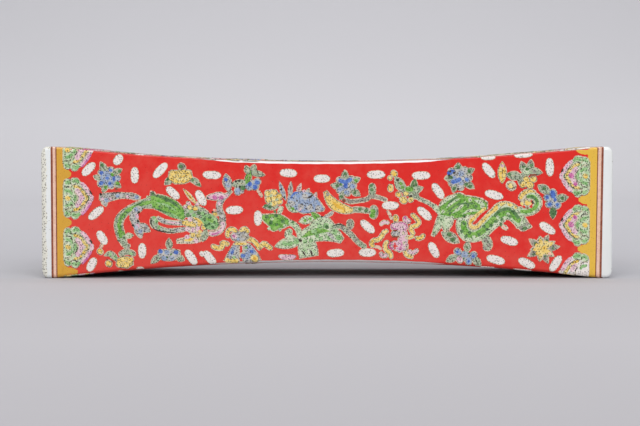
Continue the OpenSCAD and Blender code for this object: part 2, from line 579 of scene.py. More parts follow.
@dataclass(frozen=True)
class RuledSheet:
    """Squared paper over a long face, on which every motif is drawn.

    x counts squares to the right and y counts squares down. The sheet is ruled as the eye sees
    the face from in front, so its squares are a little larger at the waist, which lies deeper.
    """

    form: PillowForm = PillowForm()
    square: float = 0.6297 * MM
    middle: Point = (327.2, 212.6)
    # The eye stands this far in front of the ends, and this far along and up from the middle
    eye_distance: float = 0.9
    eye: Point = (-0.0045, 0.0395)
    # The painter let the drawing hang a little at the waist
    sag: float = 0.4 * MM
    # Paint goes over the rounded edge as far as the mitre, and what is drawn past it bunches up there
    edge_turn: float = math.radians(45)
    bunching: float = 0.02
    # A stroke that keeps nearer to the edge than this share of its rounding is left out
    edge_share: float = 0.3

    def measure(self, drawn: Array) -> Array:
        """Turn squares into metres along and up the face.

        Args:
            drawn: Places on the sheet, one row each.

        Returns:
            Distances from the middle of the face, to the right and up, one row each.
        """
        held = (drawn - np.array(self.middle)) * np.array([self.square, -self.square])
        eye = np.array(self.eye)
        dip = self.form.dip(held[:, :1])
        hung = np.array([0, self.sag / self.form.waist_dip])
        return eye + (held - eye) * (1 + dip / self.eye_distance) - dip * hung

    def over_edge(self, measured: Array, face: Face) -> bool:
        """Tell whether places reach a rounded edge of the face."""
        along, up = measured.T
        return bool(np.any(np.abs(up) > self.form.half(along) - self.form.rounding(up, face)))

    def past_edge(self, measured: Array) -> bool:
        """Tell whether places all lie past the edges of the face."""
        along, up = measured.T
        return bool(np.all(np.abs(up) > self.form.half(along) - self.edge_share * self.form.edge_round))

    def settle(self, measured: Array, height: Array, face: Face) -> Array:
        """Put places on a long face, over its rounded edges where they reach that far.

        Args:
            measured: Distances to the right and up, in metres, one row each.
            height: Height above the face at each place.
            face: The long face.

        Returns:
            Points in the pillow's frame, one row each.
        """
        along, up = measured.T
        edge_round = self.form.rounding(up, face)
        flat_half = self.form.half(along) - edge_round
        past = np.maximum(np.abs(up) - flat_half, 0) / edge_round
        last = math.sin(self.edge_turn)
        turn = np.arcsin(np.minimum(past, last)) + self.bunching * np.maximum(past - last, 0)
        rounded = edge_round + height
        side = np.where(past > 0, flat_half + rounded * np.sin(turn), np.abs(up)) * np.sign(up)
        out = flat_half + rounded * np.cos(turn)
        points = np.column_stack([along, -out, side]) @ face.turn().T
        return points + np.array([0, 0, self.form.end_half])


class Taper(Enum):
    """How the width of a stroke runs from its start to its end."""

    ROUND = "even, with round ends"
    BEAN = "swelling, with blunt ends"
    LEAF = "pointed at both ends"
    BAND = "even, cut off square"

    def widths(self, run: Array, slimness: float) -> Array:
        """Find the share of the full width along a stroke.

        Args:
            run: Places along the stroke, from 0 to 1.
            slimness: Length of the stroke over its width.

        Returns:
            Share of the full width at each place, never quite none.
        """
        least = 0.04
        bluntness = 2.7
        leaf_fullness = 0.8
        if self is Taper.ROUND:
            share = np.sqrt(1 - np.abs(2 * run - 1) ** (2 * max(slimness, 1.0)))
        elif self is Taper.BEAN:
            share = np.sqrt(1 - np.abs(2 * run - 1) ** bluntness)
        elif self is Taper.LEAF:
            share = np.sin(np.pi * run) ** leaf_fullness
        else:
            share = np.ones_like(run)
        return np.maximum(share, least)


@dataclass(frozen=True)
class Stroke:
    """One pull of the brush, drawn on the ruled sheet."""

    enamel: Enamel
    spine: tuple[Point, ...]
    widths: tuple[float, ...]
    taper: Taper = Taper.ROUND
    halo: bool = True
    path_steps: int = 24
    # How far a hand-painted edge wavers, in squares, and its two waves, in radians per square
    waver: float = 0.3
    waves: Pair = (1.9, 3.1)
    # What sets the waves of strokes of different heights, and of the two sides of a stroke, apart
    height_phase: float = 1.7
    side_phase: float = 2
    # A stroke wider than this gets an outline
    outline_from: float = 3

    def path(self) -> tuple[Array, Array]:
        """Round the spine off into a smooth path.

        Returns:
            Points of the path, and the distance along it at each.
        """
        marks = np.array(self.spine, dtype=float)
        padded = np.vstack([2 * marks[0] - marks[1], marks, 2 * marks[-1] - marks[-2]])
        t = np.linspace(0, 1, self.path_steps, endpoint=False)[:, None]
        pieces = []
        for a, b, c, d in zip(padded, padded[1:], padded[2:], padded[3:]):
            bend = (2 * a - 5 * b + 4 * c - d) * t**2
            twist = (3 * b - a - 3 * c + d) * t**3
            pieces.append(0.5 * (2 * b + (c - a) * t + bend + twist))
        points = np.vstack([*pieces, marks[-1:]])
        steps = np.linalg.norm(np.diff(points, axis=0), axis=1)
        return points, np.concatenate([[0.0], np.cumsum(steps)])

    def slimness(self) -> float:
        """Length of the stroke over its width."""
        return float(self.path()[1][-1]) / max(self.widths)

    def spread(self, mark: Array) -> Array:
        """Bend a straight brush mark along the stroke.

        Args:
            mark: Vertices of the mark, one row each.

        Returns:
            Places of the vertices on the ruled sheet, one row each.
        """
        path, gone = self.path()
        run = (1 - np.cos(np.pi * (mark[:, 0] + 1) / 2)) / 2
        covered = run * gone[-1]
        slope = np.gradient(path, gone, axis=0)
        place = np.column_stack([np.interp(covered, gone, path[:, i]) for i in (0, 1)])
        heading = np.column_stack([np.interp(covered, gone, slope[:, i]) for i in (0, 1)])
        heading /= np.linalg.norm(heading, axis=1, keepdims=True)
        width = np.interp(run, np.linspace(0, 1, len(self.widths)), self.widths)
        if not self.ruled:
            x, y = self.spine[0]
            phase = x + self.height_phase * y + self.side_phase * np.sign(mark[:, 1])
            slow, fast = self.waves
            drift = np.sin(slow * covered + phase) + np.sin(fast * covered + 2 * phase)
            width = width + self.waver * drift
        reach = mark[:, 1] * 0.5 * width * self.taper.widths(run, self.slimness())
        return place + reach[:, None] * np.column_stack([heading[:, 1], -heading[:, 0]])

    @property
    def ruled(self) -> bool:
        """Whether the stroke is ruled, with straight edges and square ends."""
        return self.taper is Taper.BAND and len(self.widths) == 1

    @property
    def outlined(self) -> bool:
        """Whether a broken dark outline runs round the stroke."""
        return self.halo and self.enamel not in (RESERVE, WHITE) and max(self.widths) > self.outline_from

    @property
    def petal(self) -> bool:
        """Whether the outline also parts the stroke from what lies under it, as on yellow petals."""
        return self.enamel is YELLOW

    def underlay(self, enamel: Enamel, margin: float, halo: bool = False) -> "Stroke":
        """Draw a stroke of the same course with some margin round this one.

        Args:
            enamel: Colour of the other stroke.
            margin: How far it shows round this stroke, in squares; less than none lies inside it.
            halo: Whether the other stroke has a rim of its own.

        Returns:
            The wider and longer, or narrower and shorter, stroke.
        """
        marks = [np.array(p, dtype=float) for p in self.spine]
        first = marks[0] - marks[1]
        last = marks[-1] - marks[-2]
        marks[0] = marks[0] + margin * first / np.linalg.norm(first)
        marks[-1] = marks[-1] + margin * last / np.linalg.norm(last)
        spine = tuple((float(x), float(y)) for x, y in marks)
        widths = tuple(w + 2 * margin for w in self.widths)
        return Stroke(enamel, spine, widths, self.taper, halo)


@dataclass(frozen=True)
class BrushMark:
    """Flat raised mark of enamel, modelled once straight and copied along every stroke."""

    steps: int
    lanes: int = 2
    # Share of the height that is left at the rim, where the enamel thins out
    rim_height: float = 0.4
    # What lies further out and higher up than this belongs to the upper rim
    rim_from: float = 0.99
    top_from: float = 0.5

    def model(self) -> Mark:
        """Model the mark, two units long and wide and one high.

        Returns:
            Its vertices, one row each, and its faces.
        """
        bpy.ops.object.select_all(action="DESELECT")
        bpy.ops.mesh.primitive_grid_add(x_subdivisions=self.steps, y_subdivisions=self.lanes, size=2)
        mark = bpy.context.object
        bpy.ops.object.mode_set(mode="EDIT")
        bpy.ops.mesh.select_all(action="SELECT")
        bpy.ops.mesh.extrude_region_move(TRANSFORM_OT_translate={"value": (0, 0, 1)})
        bpy.ops.mesh.select_all(action="SELECT")
        bpy.ops.mesh.normals_make_consistent(inside=False)
        bpy.ops.mesh.select_all(action="DESELECT")
        bpy.ops.object.mode_set(mode="OBJECT")
        for vertex in mark.data.vertices:
            at_rim = max(abs(vertex.co.x), abs(vertex.co.y)) > self.rim_from
            vertex.select = at_rim and vertex.co.z > self.top_from
        bpy.ops.object.mode_set(mode="EDIT")
        bpy.ops.mesh.select_mode(type="VERT")
        bpy.ops.transform.translate(value=(0, 0, self.rim_height - 1))
        bpy.ops.object.mode_set(mode="OBJECT")
        vertices = np.array([vertex.co for vertex in mark.data.vertices])
        faces = [tuple(face.vertices) for face in mark.data.polygons]
        bpy.data.meshes.remove(mark.data)
        return vertices, faces


@dataclass
class EnamelMesh:
    """All marks of one enamel on one face, gathered into one mesh."""

    points: list[Array] = field(default_factory=list)
    faces: list[tuple[int, ...]] = field(default_factory=list)
    count: int = 0

    def add(self, points: Array, faces: list[tuple[int, ...]]) -> None:
        """Add the copy of a mark.

        Args:
            points: Vertices of the copy.
            faces: Faces of the mark, by number of vertex.
        """
        self.points.append(points)
        self.faces.extend(tuple(i + self.count for i in face) for face in faces)
        self.count += len(points)

    def make(self, name: str, enamel: Enamel) -> Piece:
        """Make the object, with its finish, on the pillow's one body.

        Args:
            name: Name of the piece.
            enamel: The enamel that it is painted in.

        Returns:
            The finished piece.
        """
        mesh = bpy.data.meshes.new(name)
        mesh.from_pydata(np.vstack(self.points).tolist(), [], self.faces)
        mesh.validate()
        piece = bpy.data.objects.new(name, mesh)
        bpy.context.scene.collection.objects.link(piece)
        finish_piece(piece, enamel.value.material())
        return piece


@dataclass
class Motif:
    """Painted motif: its strokes, first to last, on a pale reserve that shows as a rim."""

    # How far the paint stays inside the drawn edge, and the reserve and outline show round the paint
    inset: float = 0.3
    margin: float = 1.1
    outline: float = 0.4
    # Width of a leaf's midrib, and where it starts and ends on the way from root to tip
    rib: float = 0.8
    rib_ends: Pair = (0.2, 0.8)
    # A dab is a short stroke: its half length and width for a dab of width 1, and its turn in radians
    dab_reach: float = 0.55
    dab_width: float = 0.92
    first_turn: float = 0.7
    further_turn: float = 2.4
    # Height of the first stroke, and how much higher each further one lies
    height: float = 0.1 * MM
    layer: float = 0.005 * MM
    strokes: list[Stroke] = field(default_factory=list, init=False)

    def draw(self) -> None:
        """Lay the motif's strokes."""
        raise NotImplementedError

    def line(
        self, enamel: Enamel, width: float, *spine: Point, taper: Taper = Taper.ROUND, halo: bool = True
    ) -> None:
        """Pull one stroke of even width through its places, with or without a reserve round it."""
        self.strokes.append(Stroke(enamel, spine, (width,), taper, halo))

    def touch(self, enamel: Enamel, width: float, *spine: Point, taper: Taper = Taper.ROUND) -> None:
        """Pull one stroke of even width over what is already painted."""
        self.line(enamel, width, *spine, taper=taper, halo=False)

    def streak(self, enamel: Enamel, width: float, *spine: Point) -> None:
        """Pull one stroke, pointed at both ends, over what is already painted."""
        self.touch(enamel, width, *spine, taper=Taper.LEAF)

    def shape(self, enamel: Enamel, widths: tuple[float, ...], *spine: Point) -> None:
        """Pull one stroke on a reserve, with widths that change at even steps on the way."""
        self.strokes.append(Stroke(enamel, spine, widths, Taper.BAND))

    def leaf(self, enamel: Enamel, width: float, *spine: Point) -> None:
        """Pull a leaf, pointed at both ends, with its fine dotted midrib.

        Args:
            enamel: Colour on the brush.
            width: Full width, in squares.
            *spine: Places that the leaf passes, from its root to its tip.
        """
        self.line(enamel, width, *spine, taper=Taper.LEAF)
        root, tip = (np.array(end, dtype=float) for end in (spine[0], spine[-1]))
        start, end = (tuple(root + share * (tip - root)) for share in self.rib_ends)
        self.streak(OUTLINE, self.rib, start, *spine[1:-1], end)

    def leaves(self, enamel: Enamel, *leaves: tuple[float, Point, Point]) -> None:
        """Pull straight leaves, each with its width, root and tip."""
        for width, root, tip in leaves:
            self.leaf(enamel, width, root, tip)

    def dabs(self, enamel: Enamel, width: float, *places: Point, halo: bool = True) -> None:
        """Set down round dabs, each turned a little further than the last.

        Args:
            enamel: Colour on the brush.
            width: Width of a dab, in squares.
            *places: Middles of the dabs.
            halo: Whether they lie on a reserve, and not over what is already painted.
        """
        for number, place in enumerate(places):
            turn = self.further_turn * number + self.first_turn
            reach = self.dab_reach * width * np.array([math.cos(turn), math.sin(turn)])
            start, end = tuple(np.array(place) - reach), tuple(np.array(place) + reach)
            self.line(enamel, self.dab_width * width, start, end, halo=halo)

    def spots(self, enamel: Enamel, width: float, *places: Point) -> None:
        """Set down round dabs over what is already painted."""
        self.dabs(enamel, width, *places, halo=False)


@dataclass
class EndBorders(Motif):
    """Straight borders beside both white rims: yellow band, peach stripe and brown lines."""

    height: float = 0.07 * MM
    layer: float = 0.0
    above: float = 146.4
    below: float = 279
    band: float = 10
    stripe: float = 3
    heavy_line: float = 2.2
    fine_line: float = 1.25
    # Middle lines of the yellow bands
    left_band: float = 62
    right_band: float = 592
    # The right border runs in a little towards its foot
    lean: float = 1.2
    # Ends of the tongues that the yellow bands send out between the lappets
    left_tongues: tuple[Point, ...] = ((71.5, 174), (71.5, 222.5), (77.5, 272))
    right_tongues: tuple[Point, ...] = ((576, 150), (578.5, 199.5), (578, 249))
    tongue_widths: tuple[float, ...] = (9, 9, 9, 7.5, 2.5)

    def draw(self) -> None:
        """Rule the borders from edge to edge, and paint the tongues."""
        self.rule(AMBER, self.band, self.left_band)
        self.rule(PEACH, self.stripe, 54.5)
        self.rule(BROWN, self.heavy_line, 52.2)
        self.rule(BROWN, self.fine_line, 56.5)
        self.rule(AMBER, self.band, self.right_band, self.lean)
        self.rule(PEACH, self.stripe, 599.1, self.lean)
        self.rule(BROWN, self.fine_line, 596.8, self.lean)
        self.rule(BROWN, self.heavy_line, 601.6, self.lean)
        for end in self.left_tongues:
            self.tongue(self.left_band, end)
        for end in self.right_tongues:
            self.tongue(self.right_band, end)

    def tongue(self, root: float, end: Point) -> None:
        """Bring a yellow band out from its middle line to an end between two lappets."""
        spine = ((root, end[1]), end)
        self.strokes.append(Stroke(AMBER, spine, self.tongue_widths, Taper.BAND, halo=False))

    def rule(self, enamel: Enamel, width: float, x: float, lean: float = 0.0) -> None:
        """Rule one upright stripe about x, whose foot stands further left than its head by the lean."""
        spine = ((x + lean / 2, self.above), (x, RuledSheet.middle[1]), (x - lean / 2, self.below))
        self.touch(enamel, width, *spine, taper=Taper.BAND)


@dataclass
class CloudCollar(Motif):
    """Cloud-shaped lappets that point inwards from a yellow band.

    Each lappet is drawn in squares out from the band and down from its own middle line.
    """

    margin: float = 0.8
    rib: float = 1.0
    stipple: float = 0.9
    base: float = 63.5
    # Which way the lappets point, along x
    toward: float = 1
    middles: tuple[float, ...] = (150, 198, 247)
    # Middle lines of lappets that are left white but for their upper scallops
    pale: tuple[float, ...] = ()
    core: Enamel = LILAC
    body: tuple[float, ...] = (27, 31, 36, 36.5, 28.5, 15.5, 2)

    def draw(self) -> None:
        """Lay the lappets from the top down."""
        for number, middle in enumerate(self.middles):
            ground = WHITE if middle in self.pale else MINT
            self.shape(ground, self.body, *self.count(middle, (0, 0), (15, 0), (30, 0)))
            self.dabs(MINT, 8.6, *self.count(middle, (5, -14.8), (11.5, -16.3), (5, 14.8), (11.5, 16.3)))
            for side in (-1, 1):
                self.scallops(middle, side)
            for side in (-1, 1):
                self.point(middle, side)
            if middle not in self.pale:
                self.heart(middle, 1 - 2 * (number % 2))

    def count(self, middle: float, *places: Point, side: int = 1) -> list[Point]:
        """Bring places onto the sheet, counted out from the band and down, or up for a side of -1."""
        return [(self.base + self.toward * out, middle + side * down) for out, down in places]

    def scallops(self, middle: float, side: int) -> None:
        """Paint the green scallops of one half of a lappet.

        Args:
            middle: Middle line of the lappet.
            side: -1 for its upper half, 1 for its lower half.
        """
        self.touch(FERN, 3, *self.count(middle, (2, 14), (5, 16.5), (8, 14.5), side=side))
        self.touch(FERN, 3.4, *self.count(middle, (9, 16), (13, 17.5), (16, 15), side=side))
        self.touch(FERN, 3, *self.count(middle, (2, 7.5), (7, 6.5), (9, 3.5), side=side))
        self.touch(OUTLINE, self.rib, *self.count(middle, (1, 11), (7, 10.5), (9, 6), side=side))
        self.touch(OUTLINE, self.rib, *self.count(middle, (7, 16), (9, 13), (14, 14.5), side=side))

    def point(self, middle: float, side: int) -> None:
        """Paint the lilac and yellow bands of one half of a lappet, out to its tip.

        Args:
            middle: Middle line of the lappet.
            side: -1 for its upper half, 1 for its lower half.
        """
        self.touch(LILAC, 4, *self.count(middle, (17.5, 15.5), (22.5, 10.5), (27.5, 2.5), side=side))
        if side == self.toward == 1:
            self.touch(ROSE, 1.8, *self.count(middle, (18.5, 17), (24, 10.5), (28, 4), side=side))
        self.touch(YELLOW, 2.8, *self.count(middle, (10, 12), (15.5, 10.5), (18, 8), side=side))
        self.touch(YELLOW, 3.2, *self.count(middle, (18.5, 7.5), (22, 3.5), (24, 0), side=side))
        self.touch(LILAC, 4.6, *self.count(middle, (12.5, 9), (15.5, 5.5), (18, 1.5), side=side))
        self.touch(OUTLINE, self.rib, *self.count(middle, (14, 13.5), (20.5, 8), (26, 0), side=side))
        self.touch(OUTLINE, self.rib, *self.count(middle, (11, 6.5), (13.5, 3), (14, 0), side=side))
        dots = ((11, 12), (13.5, 10.6), (16, 10.8), (18, 7.4), (19.5, 7), (20.8, 4), (22.5, 3.4), (23.4, 0.8))
        self.spots(INK, self.stipple, *self.count(middle, *dots, side=side))

    def heart(self, middle: float, side: int) -> None:
        """Paint the middle of a lappet.

        Args:
            middle: Middle line of the lappet.
            side: -1 for the small spot in its upper half, 1 for its lower half.
        """
        self.touch(LILAC, 3.5, *self.count(middle, (28, -3), (28.5, 0), (28, 3)))
        self.spots(YELLOW, 5, *self.count(middle, (4.5, 0)))
        self.touch(FERN, 2.6, *self.count(middle, (11.5, -3.5), (12, 0), (11.2, 3.5)))
        self.touch(LILAC, 4, *self.count(middle, (16, -5), (17.5, 0), (16, 5)))
        self.spots(self.core, 5.6, *self.count(middle, (18.5, -0.5)))
        self.spots(self.core, 4, *self.count(middle, (14.5, 8), side=side))
        self.touch(INK, 1.5, *self.count(middle, (26.5, -7.5), (28.5, -4)))


@dataclass
class WhiteSpots(Motif):
    """Bean-shaped white spots scattered over the ground."""

    margin: float = 0.6
    width: float = 7.9
    edge_width: float = 4.6
    beans: tuple[tuple[Point, Point], ...] = (
        ((83, 175), (95, 163)), ((115, 164), (122, 155)), ((135, 167), (135, 183)),
        ((154, 177), (167, 163)), ((203, 174), (221, 175)), ((89, 219), (103, 207)),
        ((98, 231), (106, 244)), ((88, 271), (95, 258)), ((142, 243), (142, 258)),
        ((186, 250), (196, 264)), ((204, 251), (215, 264)), ((167, 187), (179, 198)),
        ((197, 190), (205, 205)), ((280, 172), (297, 173)), ((314, 178), (330, 178)),
        ((367, 174), (385, 174)), ((412, 175), (430, 175)), ((226, 210), (243, 209)),
        ((258, 210), (258, 225)), ((382, 205), (399, 205)), ((361, 220), (374, 232)),
        ((418, 207), (431, 219)), ((327, 253), (344, 252)), ((359, 252), (376, 252)),
        ((433, 183), (443, 198)), ((483, 163), (494, 177)),
        ((549, 158), (550, 176)), ((485, 192), (503, 197)), ((540, 223), (555, 233)),
        ((501, 238), (518, 243)), ((430, 242), (438, 257)), ((487, 257), (505, 262)),
        ((519, 259), (535, 267)), ((551, 271), (561, 256)),
    )
    edge_beans: tuple[tuple[Point, Point], ...] = (
        ((136, 269), (144, 269)), ((200, 251.5), (204, 255.5)), ((514, 155.5), (532, 154.5)),
        ((481, 157.5), (495, 157)), ((543, 151), (557, 150.5)),
    )

    def draw(self) -> None:
        """Set down the spots, and the slimmer ones that an edge cuts."""
        for start, end in self.beans:
            self.line(WHITE, self.width, start, end, taper=Taper.BEAN)
        for start, end in self.edge_beans:
            self.line(WHITE, self.edge_width, start, end, taper=Taper.BEAN)
        self.line(LILAC, 5.6, (278.5, 255.5), (287, 257), (296, 256), taper=Taper.BEAN)


@dataclass
class PhoenixTail(Motif):
    """Tail feathers and streamers of the phoenix."""

    def draw(self) -> None:
        """Lay the streamers, and the long feather between them."""
        self.upper_streamer()
        self.long_feather()
        self.lower_streamer()

    def upper_streamer(self) -> None:
        """Paint the pale streamer that ends in a bulb beside the star flower."""
        self.line(PEARL, 6, (103, 197), (106, 206), taper=Taper.LEAF)
        self.shape(
            PEARL, (4.5, 9, 7.5, 5.8, 5.2, 5.2, 5.6, 2.5), (100, 197), (106, 197.5), (114, 196),
            (122, 195.3), (131, 195.6), (140, 198),
        )
        self.spots(GREY, 4, (104, 195), (113, 196.5), (125, 196), (132, 194.5))
        self.spots(SKY, 4, (106.5, 200), (118, 195.5), (137, 197))
        self.spots(LILAC, 3.2, (110.5, 199), (128, 196.5), (102.5, 199))
        self.streak(INK, 1.4, (110, 193), (121, 192.3))
        self.spots(INK, 2.6, (101, 194))

    def long_feather(self) -> None:
        """Paint the green feather that sweeps down from the wing."""
        self.leaf(MINT, 5, (124, 236), (133, 235))
        self.shape(
            SAGE, (2, 5.5, 7.5, 8.5, 8.5, 8, 7, 6.5, 7, 9, 12), (128, 250), (123, 241), (119.5, 231),
            (118.5, 223), (122, 215.5), (130, 209), (140, 204.5), (152, 202),
        )
        self.touch(
            LEAF, 4, (121, 238), (119.5, 229), (119.5, 221.5), (123.5, 214.5), (131, 208.5), (141, 204),
            (152, 201.5),
        )
        self.streak(MOSS, 1.6, (120, 224), (121, 217), (126, 211))
        self.streak(MOSS, 2, (134, 206), (140, 203), (145, 199.5))
        self.spots(LEAF, 4.5, (122.5, 233))
        self.spots(SAGE, 3.5, (119, 240), (123, 243), (116.5, 229), (117, 221))
        self.spots(MOSS, 2.2, (121, 226), (118, 233), (124, 238), (127, 212))

    def lower_streamer(self) -> None:
        """Paint the pale forked streamer under the long feather."""
        self.leaves(PEARL, (8, (137, 224), (150, 231)), (8, (137, 223), (141, 238)))
        self.line(PEARL, 7, (142, 207), (136, 210), (133.5, 216), (135.5, 222), (139, 229))
        self.touch(LILAC, 3, (136.5, 213), (138, 218))
        self.touch(LILAC, 3, (137, 223), (139, 228))
        self.spots(SKY, 4, (136, 209), (140.5, 231), (136, 227))
        self.spots(INK, 2.4, (133, 225), (138, 221), (139, 212))


@dataclass
class PhoenixBody(Motif):
    """Wing, body, neck and crest of the phoenix."""

    def draw(self) -> None:
        """Lay the plumes under the wing, the wing, the body and the head."""
        self.plumes()
        self.wing()
        self.belly()
        self.body()
        self.head()

    def plumes(self) -> None:
        """Paint the looped pair of plumes under the wing."""
        self.line(PEARL, 3.6, (157, 217), (163, 220.5), (170, 222), (183, 223))
        self.line(PEARL, 3.8, (155, 226), (164, 229.5), (172, 230.5), (186, 228.5))
        self.line(SAGE, 6.8, (154.5, 216.5), (153.5, 222), (156, 227.5))
        self.spots(FERN, 3.6, (156.5, 221), (154.5, 217.5), (159, 227))
        self.streak(LILAC, 2, (166, 221.5), (174, 222.5), (181, 223))
        self.streak(SAGE, 2.4, (160, 228.5), (168, 230.5), (176, 230.5))
        self.streak(INK, 1.6, (151.6, 217.5), (150.8, 222), (152.5, 226.5))
        self.streak(GREY, 1.6, (160, 222), (169, 223.5), (178, 224.5))
        self.streak(INK, 1.4, (152, 224), (155, 229), (165, 231.5), (177, 232.3))

    def wing(self) -> None:
        """Paint the folded wing."""
        self.leaf(GREY, 5, (155, 197), (151, 191))
        self.shape(
            LEAF, (9, 14, 16.5, 16.5, 13, 8), (147, 201), (157, 201.5), (167, 205), (176, 210), (185, 217)
        )
        self.streak(FERN, 4, (163, 211), (172, 215), (181, 218.5))
        self.streak(FERN, 2.4, (156, 202), (167, 205), (177, 211))
        self.streak(MOSS, 3.4, (152, 195), (162, 196.8), (172, 201.5), (181, 209))
        self.streak(MOSS, 2, (155, 208), (162, 210.5), (169, 212.5))
        self.spots(MOSS, 3, (153, 193.5), (160, 206), (170, 208), (167, 200))
        self.leaf(YELLOW, 3.2, (183.5, 188.5), (190, 196), (197, 204))

    def belly(self) -> None:
        """Paint the yellow and lilac feathers of the belly and the short tail."""
        self.line(RESERVE, 15, (187, 223), (199, 227))
        self.shape(RESERVE, (3, 5, 8, 9, 6), (177, 241), (190, 239), (205, 235))
        self.shape(YELLOW, (3, 5.5, 6, 3), (182, 222), (189, 223), (196, 225))
        self.dabs(YELLOW, 4.8, (204, 227), (193, 234.5), (198.5, 235))
        self.streak(YELLOW, 3.4, (194, 238.5), (184, 240))
        self.spots(
            LILAC, 4.6, (190, 218.8), (187.5, 228.8), (193, 229.5), (198, 228.5), (196, 240.5),
            (187, 236.5),
        )
        self.spots(YELLOW, 3.4, (199, 224), (200, 231))
        self.leaf(SAGE, 6.4, (206.5, 229), (202.5, 241))

    def body(self) -> None:
        """Paint the green body and breast, and the shoulder feathers."""
        self.shape(SAGE, (7, 11, 13, 13, 9), (184, 212), (193, 212), (201, 214), (208, 220))
        self.shape(FERN, (8, 13, 15.5, 13, 5), (202, 216), (210, 221.5), (218, 226.5))
        self.spots(FERN, 4.4, (191, 210.5), (194, 215), (203, 213))
        self.spots(MOSS, 4, (188, 214.5), (199, 212.5))
        self.streak(LEAF, 3.4, (204, 217), (211, 220), (217, 223.5))
        self.spots(MOSS, 3, (205, 219), (210, 217), (209, 223.5), (214.5, 222), (206, 225), (213, 226.5))
        self.streak(YELLOW, 3, (193, 216.5), (198, 219.5), (204, 224.5))
        self.dabs(LILAC, 3.6, (188.5, 203), (185.5, 206.5), (197.5, 203.5))
        self.dabs(YELLOW, 5, (190, 207), (195.5, 208))
        self.line(LILAC, 4.2, (208.5, 233), (215, 233), (221, 229.5), (224.5, 222))
        self.streak(ROSE, 1.8, (210, 233.8), (216, 233.2), (221.5, 229.8))

    def head(self) -> None:
        """Paint the neck, the head and the crest."""
        self.shape(
            PEARL, (5, 5.5, 5.5, 5.5, 5, 3.6, 2), (222, 225), (222.5, 217), (219.8, 209.5), (219.5, 203.5),
            (222.5, 198.5), (227, 194.5), (231.5, 190.5),
        )
        self.spots(GREY, 3.4, (222, 220.5), (220.5, 213), (219.5, 207.5))
        self.spots(LILAC, 3.8, (223, 223), (219.5, 203), (226.5, 195.5))
        self.dabs(YELLOW, 4.4, (215.3, 213.5))
        self.spots(PEACH, 2.6, (214.5, 209.5))
        self.shape(LILAC, (2, 5, 7.5, 7, 3), (207, 197), (215, 196), (226, 195.5))
        self.spots(ROSE, 4.6, (215, 197), (221, 197))
        self.spots(INK, 1.8, (208, 197.5), (212.5, 211.5), (205, 213.5))


